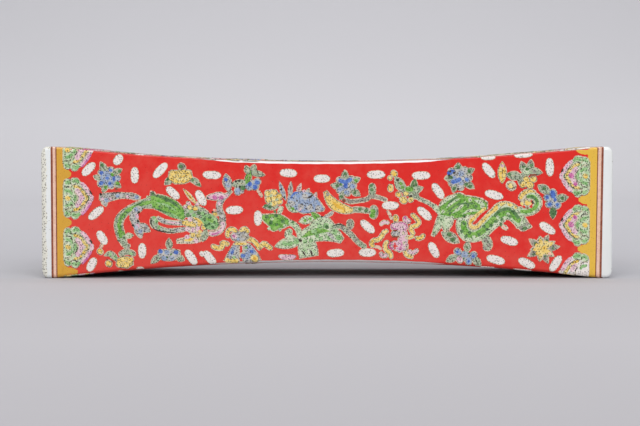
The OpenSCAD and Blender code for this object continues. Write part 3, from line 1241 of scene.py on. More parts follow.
@dataclass
class LeftSprays(Motif):
    """Flower sprays between the left border and the middle."""

    def draw(self) -> None:
        """Paint the sprays from left to right."""
        self.star_flower()
        self.fan_blossom()
        self.low_sprig()
        self.half_flower()
        self.blue_bud()

    def star_flower(self) -> None:
        """Paint the blue star flower beside the left border."""
        self.leaves(
            SAGE, (6, (107, 173), (101, 162)), (5.5, (113, 174), (122, 169)), (5, (102, 179), (94, 176)),
            (5.5, (113, 181), (121, 187)), (5.5, (107, 183), (103, 192)),
        )
        self.dabs(SKY, 15, (108, 178))
        self.dabs(PEARL, 6.5, (102, 173), (111, 170), (117, 178), (101, 183), (111, 185))
        self.spots(COBALT, 4.4, (102, 173), (115, 178.5), (101.5, 183))
        self.spots(SKY, 5, (118, 178), (111, 185), (107, 181), (104, 176))
        self.spots(COBALT, 3.4, (111, 170), (107.5, 178), (110, 183))
        self.spots(LEAF, 3.4, (112.5, 174.5), (118, 183), (106, 187))
        self.spots(MOSS, 3.4, (102.5, 165), (120, 171))
        self.spots(BROWN, 2.6, (116.5, 188.5))

    def fan_blossom(self) -> None:
        """Paint the yellow blossom above the phoenix."""
        self.dabs(GREY, 7, (182, 166.5))
        self.spots(MOSS, 4, (181, 166))
        self.leaf(SAGE, 5.5, (187, 177), (194, 180), (201, 186))
        self.leaf(SAGE, 6, (173, 177), (165, 184))
        self.shape(YELLOW, (7, 12, 14, 13, 7), (169, 175.5), (180, 176.5), (192, 174))
        self.dabs(YELLOW, 6, (173, 173), (180.5, 173), (188, 172.8), (176, 180), (183.5, 180))
        self.spots(
            INK, 1, (176.5, 175.5), (180, 177.5), (184.5, 176.5), (187, 177), (171.5, 178), (189.5, 178)
        )
        self.spots(MOSS, 3, (193, 179.5), (199, 184), (168, 179))

    def low_sprig(self) -> None:
        """Paint the yellow sprig by the lower edge."""
        self.line(PEACH, 2, (102, 244), (100, 249))
        self.dabs(YELLOW, 5.5, (100, 251.5))
        self.leaf(SAGE, 5.6, (104, 255.5), (111, 254), (118, 262))
        self.line(SAGE, 4.8, (119, 254.5), (127, 251.5), (135, 254.5))
        self.line(GREY, 2.6, (127, 250), (129, 244))
        self.spots(FERN, 3.4, (115, 257), (131, 253.5), (110, 254.5))
        self.shape(YELLOW, (6, 10, 11, 10, 6), (116.5, 262), (124, 262), (132.5, 261))
        self.dabs(YELLOW, 6, (108.5, 263.5), (122, 259.5), (130, 260), (119, 263.5))
        self.dabs(YELLOW, 6.6, (126, 264.5))
        self.spots(BROWN, 1.8, (107, 259.5), (112, 261))

    def half_flower(self) -> None:
        """Paint the blue half flower by the lower edge."""
        self.leaves(
            SAGE, (6, (169, 250), (169, 238)), (6, (161, 254), (151, 263)), (6, (176, 256), (184, 260))
        )
        self.shape(PEARL, (5, 10, 11, 11, 10, 5), (158, 253), (168, 255), (180, 253))
        self.spots(COBALT, 4.4, (160.5, 251), (176, 252))
        self.spots(SKY, 5, (167, 252), (164, 258), (172, 258))
        self.spots(MOSS, 2, (167, 257), (171, 254))

    def blue_bud(self) -> None:
        """Paint the blue bud and flower over the first emblem."""
        self.leaf(PEARL, 8.5, (226, 173.5), (229, 191))
        self.spots(COBALT, 3.8, (226, 179))
        self.spots(SKY, 5, (228, 184))
        self.leaf(SAGE, 8, (231, 184), (249, 182.5))
        self.spots(INK, 2.2, (236, 181), (239.5, 180.5), (240, 186))
        self.leaf(LEAF, 6, (246, 184), (251, 170))
        self.leaves(
            SAGE, (5.5, (249, 174), (246, 165)), (6, (252, 173), (255, 164)),
            (5.5, (250, 172), (265, 174.5)),
        )
        self.dabs(SKY, 7, (249, 186), (255, 186), (257, 181.5), (238, 190.5))
        self.spots(PEARL, 4, (252, 181), (242, 191))
        self.spots(COBALT, 4.4, (255, 186.5), (257.5, 182), (250, 183.5))
        self.spots(MOSS, 4.6, (243, 187.5))
        self.line(PEACH, 1.8, (258, 190), (262, 196))


@dataclass
class FirstEmblem(Motif):
    """Ribboned emblem under the blue flower: a capped pair of tassels."""

    ribbon: float = 4.2

    def draw(self) -> None:
        """Paint the ribbons, the tassels and the cap."""
        self.line(YELLOW, self.ribbon, (211.5, 245), (217, 247.5), (222, 247), (222.5, 242.5), (229, 244))
        self.line(YELLOW, self.ribbon, (246, 238.5), (252, 239.5), (257, 244), (260, 249))
        self.line(YELLOW, self.ribbon, (260, 247), (264, 243), (267.5, 245.5), (272, 248.5))
        self.shape(PEARL, (5, 9, 12.5, 15.5), (236.5, 244), (231.5, 262))
        self.shape(PEARL, (6, 11, 16, 17), (246, 244), (252.5, 262))
        self.touch(SKY, 4.6, (235.5, 246), (232.5, 250), (230, 256), taper=Taper.BEAN)
        self.streak(COBALT, 2.6, (233.5, 249.5), (231, 254))
        self.touch(SKY, 6, (245, 246.5), (250, 248.5), (255.5, 254), taper=Taper.BEAN)
        self.touch(SKY, 5.5, (248, 251), (247, 259), taper=Taper.BEAN)
        self.streak(COBALT, 3, (250, 249.5), (253.5, 252.5))
        self.dabs(SKY, 5.5, (243, 255.5))
        self.spots(COBALT, 3.8, (243, 255.3))
        self.spots(FERN, 3.2, (234, 257), (246, 247))
        self.spots(YELLOW, 5, (227.5, 260), (232, 260.5), (236, 260.5))
        self.dabs(YELLOW, 7.6, (254.5, 258))
        self.spots(AMBER, 3.2, (254.5, 258))
        self.line(PEARL, 9.5, (231, 236), (248.5, 236))
        self.spots(LILAC, 5, (234.5, 235.5))
        self.spots(ROSE, 2.8, (234, 235.5))
        self.spots(GREY, 3.8, (243.5, 235.5), (247, 237.5))
        self.spots(SKY, 3.4, (238.5, 239))
        self.line(YELLOW, 3.8, (228, 237), (227.8, 231.5), (232, 228.5), (237, 231.5))
        self.line(YELLOW, 3.8, (240, 231), (245, 228), (248.5, 232.5))
        self.line(YELLOW, 3, (234.5, 243.3), (247, 243.3))


@dataclass
class MiddleSpray(Motif):
    """Large spray in the middle: a peony, a yellow flower and green leaf clusters."""

    def draw(self) -> None:
        """Paint the leaves first, then the flowers."""
        self.left_cluster()
        self.right_cluster()
        self.yellow_flower()
        self.peony()

    def left_cluster(self) -> None:
        """Paint the leaf cluster on the left and the stems that join it to the large one."""
        self.line(MINT, 5, (286, 221), (294, 224), (299, 231), (301, 240))
        self.line(MINT, 3.6, (282, 206), (279, 213))
        self.line(MINT, 6, (291, 229), (288, 234), (293, 239), (299, 241))
        self.leaf(MINT, 10, (275, 246), (286, 243), (301, 242))
        self.spots(FERN, 5.5, (285, 243), (290, 243), (296, 241))
        self.line(LEAF, 9, (273, 223), (276, 230))
        self.shape(LEAF, (4, 9, 14, 15, 12, 5), (262, 216), (270, 219), (278, 221), (289, 222))
        self.spots(MOSS, 4, (267, 216), (276, 215), (283, 221), (271, 222))
        self.spots(MINT, 3.4, (272, 218), (285, 225), (269, 228), (280, 229))
        self.spots(MOSS, 2.6, (275, 211), (277, 224), (293, 221.5))

    def right_cluster(self) -> None:
        """Paint the large leaf cluster under the peony."""
        self.leaf(MINT, 7.5, (299, 221), (315, 217.5))
        self.spots(LEAF, 3, (305, 220), (310, 218))
        self.leaf(LEAF, 6.5, (324, 224), (311, 211))
        self.line(PEARL, 2.8, (324, 218), (333, 211.5))
        self.spots(INK, 2.6, (322, 216.5))
        self.shape(MINT, (10, 16, 18, 19, 18), (305, 236), (307, 244), (309, 256))
        self.shape(MINT, (5, 11, 14, 12, 5), (310, 230), (318, 224.5), (325, 223), (333, 226))
        self.shape(
            MINT, (6, 13, 16, 16, 15, 12, 5), (299, 240), (309, 234), (321, 232), (333, 234), (342, 240)
        )
        self.streak(LEAF, 6, (302, 237), (310, 232.5), (319, 230), (330, 230.5))
        self.spots(FERN, 5.5, (320, 226), (314, 230.5), (326, 225), (335, 231.5), (339, 237))
        self.spots(FERN, 4.4, (311, 240), (305, 241), (321, 238), (329, 237.5), (317, 235))
        self.streak(PEARL, 3.6, (327, 231.5), (335, 239))
        self.spots(MOSS, 4, (327, 226.5))
        self.streak(INK, 1.6, (302, 250), (306, 256))
        self.streak(INK, 2, (310.5, 249), (312.5, 256))
        self.spots(INK, 3, (300.5, 240))

    def yellow_flower(self) -> None:
        """Paint the yellow flower left of the peony."""
        self.leaf(SAGE, 6, (263, 206.5), (279, 206))
        self.dabs(RESERVE, 15, (273, 197))
        self.dabs(
            YELLOW, 6, (268, 193), (274, 192), (279, 196), (268.5, 199), (274, 198), (279, 201), (274, 203)
        )
        self.spots(MOSS, 3.4, (270, 206.5), (266, 205))
        self.spots(MINT, 3, (271, 203), (277, 199), (271, 195))

    def peony(self) -> None:
        """Paint the blue peony with its pointed petals."""
        self.leaf(SKY, 3.6, (279.5, 181), (282, 189), (286, 200))
        self.leaf(PEARL, 3.8, (291, 181), (290.5, 189), (290, 199))
        self.leaf(LILAC, 3.2, (301, 183), (297, 194))
        self.leaf(PEARL, 3.8, (309, 188), (305, 197))
        self.leaf(LILAC, 3.8, (316.5, 192), (312, 201))
        self.leaf(MINT, 7, (286, 204), (299, 211))
        self.shape(SKY, (6, 16, 21, 22, 17, 10, 2), (288, 199), (299, 200.5), (311, 203.5), (324, 209))
        self.spots(PEARL, 6, (301, 206), (292, 203), (310, 207), (318, 208), (305, 196))
        self.streak(COBALT, 2.2, (291, 198), (294, 193), (299, 191.5))
        self.spots(LILAC, 3, (300, 209), (304, 190.5))
        self.streak(INK, 2, (306.5, 197.5), (310, 196.5), (313.5, 193.5))
        self.spots(
            INK, 1.7, (281, 189), (284.5, 196.5), (297, 200), (302, 203.5), (306, 208), (311, 204),
            (316, 209),
        )
        self.spots(LEAF, 3, (293, 208))


@dataclass
class MiddleRight(Motif):
    """Blue flower, yellow crescent and trailing stems right of the middle."""

    stem: float = 3.4

    def draw(self) -> None:
        """Paint the stems first, then the flowers."""
        self.stems()
        self.crescent()
        self.blue_flower()

    def stems(self) -> None:
        """Paint the trailing stems and their rounded leaves."""
        self.line(SAGE, 4.4, (332, 228), (339, 225.5), (346, 229.5), (352, 235), (358, 241.5), (366, 247))
        self.spots(GREY, 4, (342, 227), (348, 231), (356, 239))
        self.streak(INK, 1.4, (331, 226.5), (338, 223.7), (347, 225.5))
        self.line(SAGE, 6.6, (350.5, 219), (350, 228), taper=Taper.BEAN)
        self.spots(GREY, 4.4, (350, 222), (350.5, 227))
        self.line(
            GREY, self.stem, (342, 198), (350, 201), (360, 200), (367, 198.5), (372, 195.5), (387, 199.5)
        )
        self.line(SAGE, 6.4, (372, 183), (372.5, 195), taper=Taper.BEAN)
        self.spots(MOSS, 3.4, (372, 189), (371, 185))
        self.line(SAGE, 5, (350, 210), (359, 209), (370, 210.5))
        self.spots(MOSS, 3.4, (360, 208.5), (366, 210))
        self.line(SAGE, 8, (374, 205), (373.5, 218), taper=Taper.BEAN)
        self.spots(LEAF, 5, (373, 211), (372.5, 215))
        self.streak(GREY, 2, (377, 207), (377.5, 213), (375, 218))

    def crescent(self) -> None:
        """Paint the yellow crescent."""
        self.shape(
            YELLOW, (3, 6.5, 9.4, 10.2, 9.4, 7.5, 4), (325.5, 191), (329, 198), (335, 204.5), (344, 208.5),
            (353, 210),
        )
        self.streak(AMBER, 3.4, (332, 200), (338, 206), (346, 209))
        self.spots(GREY, 3.6, (327.5, 194))
        self.spots(BROWN, 3.6, (344, 200))

    def blue_flower(self) -> None:
        """Paint the blue flower under the top edge."""
        self.leaves(
            SAGE, (6.5, (345, 181), (345, 169.5)), (6, (350, 182), (360, 177.5)),
            (6, (342, 186), (331, 184.5)), (6.5, (350, 188), (360, 195)), (5, (344, 190), (340, 199)),
        )
        self.dabs(PEARL, 14, (346, 184.5))
        self.dabs(PEARL, 6.5, (340, 180), (351, 178.5), (353, 185.5), (339.5, 189), (347, 192))
        self.spots(SKY, 5, (352.5, 185.5), (347, 192), (340, 189), (343, 187))
        self.touch(COBALT, 4, (338.5, 179), (345, 181.5), (352, 178))
        self.touch(COBALT, 3.8, (345.5, 181), (346.2, 188))
        self.spots(MOSS, 3, (341, 184), (337.5, 185), (345, 173), (355, 192), (341.5, 196))
        self.spots(LEAF, 3.4, (356, 180))


@dataclass
class YellowGroup(Motif):
    """Yellow flowers and green leaves beside the knot emblem, with the stem to the dragon."""

    def draw(self) -> None:
        """Paint the stem and leaves first, then the flowers."""
        self.line(SAGE, 3.2, (412, 194), (420, 198.5), (428, 202), (434, 206), (441, 212))
        self.leaf(SAGE, 9, (395, 176), (400, 184), (406, 193))
        self.leaf(MOSS, 6.5, (413, 191), (415, 178.5))
        self.leaves(SAGE, (7.5, (408, 192), (423, 187)), (8, (407, 190), (419, 197)))
        self.line(LEAF, 5.5, (405, 189), (414, 188.5))
        self.spots(LEAF, 3.4, (401, 183), (402.5, 187))
        self.spots(INK, 2.8, (397.5, 179.5), (411, 195.5))
        self.dabs(YELLOW, 6, (394, 173))
        self.dabs(YELLOW, 4, (390, 177.5))
        self.line(YELLOW, 5, (390.5, 184), (390.5, 191), taper=Taper.BEAN)
        self.dabs(YELLOW, 5, (398.5, 194), (406, 193), (411, 199))
        self.dabs(YELLOW, 7, (403.5, 199.5))


@dataclass
class KnotEmblem(Motif):
    """Lilac knot with yellow ribbons."""

    ribbon: float = 3.8
    cord: float = 3.8

    def draw(self) -> None:
        """Paint the ribbons, then the knot over them."""
        self.ribbons()
        self.knot()

    def ribbons(self) -> None:
        """Paint the yellow ribbons and the loose ends of the cord."""
        self.line(
            YELLOW, self.ribbon, (411.5, 213.5), (415.5, 217), (419, 221.5), (416.5, 225), (411.5, 226.5),
            (411.5, 230), (414, 234),
        )
        self.line(YELLOW, 3, (414, 235), (409, 237), (404, 234.5))
        self.line(YELLOW, self.ribbon, (415.5, 237), (420, 238), (424.5, 234))
        self.line(
            YELLOW, self.ribbon, (388, 230), (384, 232), (381.5, 236), (378.5, 239), (373.5, 240),
            (371.5, 243.5), (374, 246.5),
        )
        self.line(YELLOW, self.ribbon, (388, 240.5), (385.5, 244), (386, 249), (390, 252.5), (391.5, 258))
        self.line(PEACH, 1.6, (375.5, 246.5), (378.5, 246.5), (381, 249))
        self.line(YELLOW, 4.8, (395.5, 214.5), (396, 221))
        self.line(PEACH, 1.5, (387.5, 210.5), (390, 214.5), (391.5, 218.5))
        self.line(YELLOW, 3.6, (405, 250), (406.5, 254.5), (413, 257))
        self.line(LILAC, self.cord, (380.5, 252), (383.5, 255.5), (387.5, 254))
        self.line(LILAC, 3, (380.5, 224.5), (384, 221.5), (389, 222.5))
        self.line(LILAC, 3.4, (408.5, 250), (413, 252.5), (418, 249))
        self.line(LILAC, 4.6, (404.5, 216), (406.5, 220), (410.5, 221))

    def knot(self) -> None:
        """Paint the knotted cord, with its dark gaps."""
        self.line(LILAC, 8.6, (391, 226.5), (400, 226), (407.5, 227))
        self.line(LILAC, 7.6, (403, 229), (404, 240))
        self.line(PEARL, 5, (391.5, 233), (400, 233))
        self.line(LILAC, 10.5, (391.5, 245), (399.5, 245), (408, 246))
        self.line(LILAC, 5.5, (398, 239), (407.5, 240.5))
        self.line(LILAC, 4.6, (399.5, 247), (400, 251.5))
        self.spots(RESERVE, 3.6, (403.5, 232.5), (406.5, 237), (404, 242.5), (407, 247))
        self.touch(ROSE, 1.3, (391, 223.5), (392.5, 227.5), (398, 228.6))
        self.touch(ROSE, 1.3, (398.5, 222.8), (404, 222.5), (407, 226), (405, 230))
        self.touch(ROSE, 1.6, (391, 241.8), (389.8, 246), (393, 249.3))
        self.touch(ROSE, 1.3, (399, 238.5), (402, 243), (400.5, 247))
        self.spots(ROSE, 3, (405, 217), (400.5, 248.5))
        self.spots(
            INK, 1.3, (402.8, 226.5), (403.8, 229), (396.5, 229.5), (390, 245), (391, 241.3), (400.5, 249)
        )
        self.touch(BROWN, 1.3, (393, 229.8), (397, 229.8))
        self.touch(BROWN, 1.3, (392, 236.3), (399, 236.3))
        self.touch(CORAL, 1.8, (391, 239), (397.5, 239))
        self.touch(CORAL, 1.5, (395, 242), (395, 249))
        self.touch(CORAL, 1.4, (393, 245.6), (398, 245.6))


@dataclass
class DragonBody(Motif):
    """Winding body of the dragon, with its yellow crest and its legs."""

    margin: float = 1.5
    crest: float = 3.6

    def draw(self) -> None:
        """Paint the legs, the body and the crest."""
        self.legs()
        self.coils()
        self.ridge()

    def legs(self) -> None:
        """Paint the claws."""
        self.leaf(SAGE, 9, (442, 232), (450, 236.5), (459, 242))
        self.spots(MOSS, 4.6, (449.5, 234), (453, 239))
        self.line(SAGE, 8, (484, 236), (488, 243), (486, 249.5))
        self.spots(GREY, 4, (486, 240), (489, 245), (485, 247.5))
        self.leaf(MINT, 6, (520, 224), (531.5, 226.5))
        self.line(SAGE, 10, (517, 216), (522, 222), (524.5, 230))
        self.spots(MOSS, 4, (523, 221), (525, 228), (519, 224))
        self.spots(GREY, 3.6, (521, 227), (527, 224))
        self.line(PEACH, 2.6, (502, 225), (507, 228.5))

    def coils(self) -> None:
        """Paint the scaly body from the neck to the root of the tail."""
        self.shape(
            MINT, (10, 11, 12, 12, 11, 11, 13, 16, 17, 16, 14, 12, 10), (463, 217), (462.5, 226),
            (466, 233.5), (474, 235.5), (482, 232.5), (488.5, 225), (495, 217.5), (503, 211.5), (511, 212),
            (518, 218), (522, 225),
        )
        self.touch(
            LEAF, 6, (464, 220), (464, 228), (468, 233.5), (475, 234.5), (482, 231), (488, 224.5),
            (494, 218.5), (501, 214.5), (508, 213), (515, 216), (520, 222),
        )
        self.touch(MOSS, 3.2, (494, 216), (500, 210.5), (508, 208.3), (514, 212), (519, 218.5))
        self.spots(MOSS, 3.4, (464, 223), (462, 231), (466, 236), (479, 234.5), (470, 232), (487, 229))
        self.spots(MOSS, 3.4, (491, 225), (496, 221), (502, 219), (501, 224), (510, 216), (484, 226))
        self.spots(MINT, 3.4, (508, 213.5), (505, 217), (513, 208), (498, 217), (474, 236.5))

    def ridge(self) -> None:
        """Paint the yellow ridge, and the red that shows inside its bend."""
        self.line(YELLOW, self.crest, (493, 211), (497, 206), (503, 203.5), (510, 204.5), (517, 208))
        self.line(
            YELLOW, self.crest, (486, 207), (477, 214.5), (470.5, 221), (471, 226.5), (477, 226.5),
            (484, 219.5), (491, 212.5), (498, 207.5),
        )
        self.spots(MINT, 3, (499, 205.5), (506, 204.5), (513, 206.5))
        self.streak(CORAL, 3.2, (473.5, 223.5), (480, 217), (488, 209))


@dataclass
class DragonHead(Motif):
    """Head of the dragon, with its mane and beard."""

    margin: float = 1.5

    def draw(self) -> None:
        """Paint the beard first, then the head."""
        self.line(MINT, 4, (433, 205), (438, 209.5), (443, 216))
        self.shape(MINT, (9, 8, 6, 4, 1.5), (443, 216), (439, 224), (433, 235))
        self.shape(MINT, (14, 14, 10, 3), (447, 211), (447, 219), (446, 230))
        self.shape(
            LEAF, (6, 16, 22, 24, 22, 19, 17, 14, 6), (440, 212), (449, 207.5), (460, 206), (472, 205.5),
            (487, 205.5),
        )
        self.mane()

    def mane(self) -> None:
        """Streak the head with light and dark green."""
        self.line(LEAF, 8, (453, 199), (459, 197), (465, 200))
        self.streak(MINT, 3, (446, 208), (452, 202), (460, 198))
        self.streak(MINT, 3.2, (452, 213), (460, 207), (466, 200.5))
        self.streak(MINT, 3, (462, 214), (470, 210), (480, 210.5))
        self.streak(MINT, 4, (474, 199.5), (482, 203), (485, 209))
        self.streak(MINT, 3.4, (440, 205.5), (448, 198.5), (457, 194.5))
        self.streak(MOSS, 2.4, (448, 204), (453, 199), (459, 196))
        self.streak(MOSS, 2, (456, 205), (464, 203), (476, 203.5))
        self.streak(MOSS, 1.6, (445, 213), (452, 208), (458, 203))
        self.spots(MOSS, 3, (468, 205), (476, 206), (459, 203.5), (450, 213), (464, 216))
        self.spots(MINT, 3.6, (447, 218), (452, 217), (443, 211), (470, 199.5), (468, 216), (482, 206))
        self.spots(MOSS, 2.2, (434, 232), (441, 219))


@dataclass
class DragonTail(Motif):
    """Curled tail of the dragon."""

    margin: float = 1.5

    def draw(self) -> None:
        """Paint the curl and its flaming middle."""
        self.line(YELLOW, 4, (520, 199), (523, 194), (529, 191), (535, 193))
        self.line(
            MINT, 7, (517, 209), (524, 211.5), (532, 210.5), (537, 206), (537.5, 200), (533, 195.5),
            (526, 196),
        )
        self.touch(
            LEAF, 3.6, (520, 211), (528, 211), (535, 207.5), (537, 202), (533.5, 196.5), (526.5, 196.5)
        )
        self.streak(MOSS, 2.4, (526, 197), (532, 196.5), (536.5, 201), (536, 205))
        self.dabs(RESERVE, 8, (525.5, 202))
        self.dabs(YELLOW, 5.5, (527, 202.5))
        self.spots(YELLOW, 3.4, (522, 203.5), (530, 203))
        self.touch(INK, 1.8, (532, 200.5), (533.5, 203.5))
        self.spots(CORAL, 2.6, (524, 206.5), (531, 206.5))
        self.spots(BROWN, 2, (527.5, 208))


@dataclass
class RightSprays(Motif):
    """Flower sprays round the dragon."""

    # Where the grey rays of the star flower start, as a share of the way to their tips
    ray_root: float = 0.4

    def draw(self) -> None:
        """Paint the sprays from left to right."""
        self.aster()
        self.low_flower()
        self.yellow_spray()
        self.iris()
        self.star_flower()

    def aster(self) -> None:
        """Paint the blue flower over the dragon's head."""
        self.leaves(
            SAGE, (8, (458, 174), (458, 162.5)), (6, (463, 174), (474, 168.5)),
            (6.5, (463, 180), (474, 188)), (6, (456, 181), (453, 192)), (7.5, (455, 177), (444.5, 178)),
        )
        self.dabs(PEARL, 17, (459, 177))
        self.dabs(PEARL, 7.5, (452, 171.5), (464, 170), (468, 178), (452, 182), (460, 186))
        self.spots(SKY, 5.5, (467, 179), (453, 178), (461, 173), (461, 182))
        self.touch(COBALT, 4.2, (451, 182), (456, 180.5), (461, 178))
        self.touch(COBALT, 4.4, (447.5, 174.5), (450, 172), (454.5, 170.5))
        self.spots(COBALT, 3.4, (466.5, 179))
        self.spots(MOSS, 3.6, (451, 177), (466, 184), (454, 188), (458, 166.5), (469, 170.5), (470, 186))
        self.spots(INK, 2.4, (450, 171), (454, 172.5), (449, 175), (458, 188.5))

    def low_flower(self) -> None:
        """Paint the blue half flower under the dragon."""
        self.leaves(
            SAGE, (6.5, (467, 252), (468, 241)), (6.5, (458, 255), (446.5, 261)),
            (6.5, (473, 256), (481, 266)),
        )
        self.dabs(PEARL, 9, (465, 256))
        self.dabs(SKY, 7, (458, 251.5), (465, 254), (473.5, 255), (469, 260.5))
        self.dabs(LILAC, 6.5, (460, 259))
        self.spots(COBALT, 2.6, (457.5, 251.5), (473.5, 256), (469, 261))
        self.spots(MOSS, 2, (467, 247), (469, 253), (464, 258))

    def yellow_spray(self) -> None:
        """Paint the yellow spray over the dragon's tail."""
        self.leaf(YELLOW, 8, (502, 161.5), (502, 183))
        self.spots(LILAC, 3.4, (502, 165.5))
        self.leaves(
            SAGE, (8.5, (506, 174.5), (522, 176.5)), (7, (526, 174), (521, 161.5)),
            (7, (529, 173), (531, 159.5)), (7, (526, 170), (542, 172.5)), (7, (524, 172), (519, 184)),
        )
        self.dabs(MINT, 8, (526.5, 171))
        self.spots(MOSS, 3.4, (509, 174), (527, 169), (531, 165), (523, 166))
        self.spots(GREY, 3.6, (522.5, 164), (530, 162), (534, 171))
        self.touch(BROWN, 1.8, (529, 175), (536, 174.3))
        self.dabs(YELLOW, 6.2, (526, 179), (533, 179), (523, 184))
        self.dabs(YELLOW, 7.2, (529.5, 184.5))
        self.dabs(RESERVE, 9, (511, 185.5))
        self.dabs(YELLOW, 5.5, (510.5, 185.5))

    def iris(self) -> None:
        """Paint the blue flower beside the right border."""
        self.leaves(SAGE, (8, (550, 193), (538, 185)), (7.5, (555, 199), (568, 197)))
        self.leaf(MOSS, 6.5, (553, 206), (553, 218.5))
        self.dabs(PEARL, 10, (552.5, 200))
        self.dabs(SKY, 7, (547.5, 197.5), (549.5, 204), (557, 205))
        self.line(SKY, 7.5, (552, 189), (553.5, 199))
        self.line(COBALT, 5, (552, 190), (553.5, 198.5))
        self.spots(COBALT, 3.4, (547, 197), (549.5, 204), (557, 204.5), (555, 199.5))
        self.spots(PEARL, 3.4, (551, 199), (554, 206))
        self.spots(MOSS, 3.4, (544, 188.5), (562, 198), (553, 213))

    def star_flower(self) -> None:
        """Paint the yellow star flower in the lower right."""
        middle = (542, 248.5)
        rays = ((529.5, 239), (528, 256), (560, 246.5), (548.5, 263), (548.5, 235), (540, 236), (540, 261))
        for tip in (*rays, (531, 249.5), (555, 241.5), (554, 256)):
            self.leaf(RESERVE, 6, middle, tip)
        for tip in ((531, 240), (530, 255), (558, 246.8), (547.5, 261), (548, 236.5)):
            root = tuple(m + self.ray_root * (t - m) for m, t in zip(middle, tip))
            self.streak(GREY, 5, root, tip)
        for tip in ((540, 238), (540, 259), (533, 249.5), (553.5, 242), (552.5, 254.5)):
            self.streak(YELLOW, 4.8, middle, tip)
        self.spots(YELLOW, 4, (537, 245), (538, 253), (546, 247), (545, 252), (546, 242))
        self.spots(PEACH, 3.4, (550, 253.5))
        self.spots(MOSS, 2.2, (535, 243), (534, 254), (547, 240), (553, 248), (545.5, 256))


@dataclass
class RedGround:
    """Coral-red ground of a long face, from collar to collar, short of the white edges."""

    sheet: RuledSheet
    left: float = 65
    right: float = 589
    columns: int = 150
    rows: int = 20
    thickness: float = 0.1 * MM
    proud: float = 0.05 * MM
    # Share of the rows that lies on the flat of the face, and the rest goes over the rounded edges
    flat_rows: float = 0.6
    # Least width of the rows that go over the edges
    lip: float = 0.2 * MM
    # White left along the edges: more round the waist, where the edge is wiped clean
    waist_margin: float = 1.5 * MM
    end_margin: float = 0.35 * MM
    # Share of the dip at which the wiping starts, and at which it is full
    wiping: Pair = (0.78, 0.88)
    # How far its edges waver, and the two waves, in radians per metre
    waver: float = 0.12 * MM
    waves: Pair = (260, 611)

    def build(self, face: Face) -> Piece:
        """Model the ground of one face.

        Args:
            face: The long face that it covers.

        Returns:
            The finished piece.
        """
        bpy.ops.object.select_all(action="DESELECT")
        bpy.ops.mesh.primitive_grid_add(x_subdivisions=self.columns, y_subdivisions=self.rows, size=2)
        ground = bpy.context.object
        ground.name = f"{face.name.lower()}_coral_red_ground"
        grid = np.array([vertex.co for vertex in ground.data.vertices])
        points = self.sheet.settle(self.spread(grid, face), np.full(len(grid), self.proud), face)
        ground.data.vertices.foreach_set("co", points.ravel())
        solidify = ground.modifiers.new("thickness", "SOLIDIFY")
        solidify.thickness = self.thickness
        solidify.offset = -1
        bpy.ops.object.modifier_apply(modifier=solidify.name)
        finish_piece(ground, CORAL.value.material())
        return ground

    def spread(self, grid: Array, face: Face) -> Array:
        """Spread a flat grid over the face, as far as the white edges.

        Args:
            grid: Vertices of a grid two units long and wide, one row each.
            face: The long face that it covers.

        Returns:
            Distances of the vertices to the right and up, one row each.
        """
        form = self.sheet.form
        across = grid[:, 1]
        first, last = self.sheet.measure(np.array([[self.left, 0], [self.right, 0]]))[:, 0]
        along = first + (grid[:, 0] + 1) / 2 * (last - first)
        start, full = self.wiping
        wiped = np.clip((form.dip(along) / form.waist_dip - start) / (full - start), 0, 1)
        margin = self.end_margin + (self.waist_margin - self.end_margin) * wiped
        slow, fast = self.waves
        drift = np.sin(along * slow + across) + np.sin(along * fast + 2 * across)
        reach = form.half(along) - margin + 0.5 * self.waver * drift
        flat_half = np.minimum(form.half(along) - form.rounding(across, face), reach - self.lip)
        row = np.abs(across)
        on_edge = np.maximum(row - self.flat_rows, 0) / (1 - self.flat_rows)
        up = np.minimum(row / self.flat_rows, 1) * flat_half + on_edge * (reach - flat_half)
        return np.column_stack([along, np.sign(across) * up])


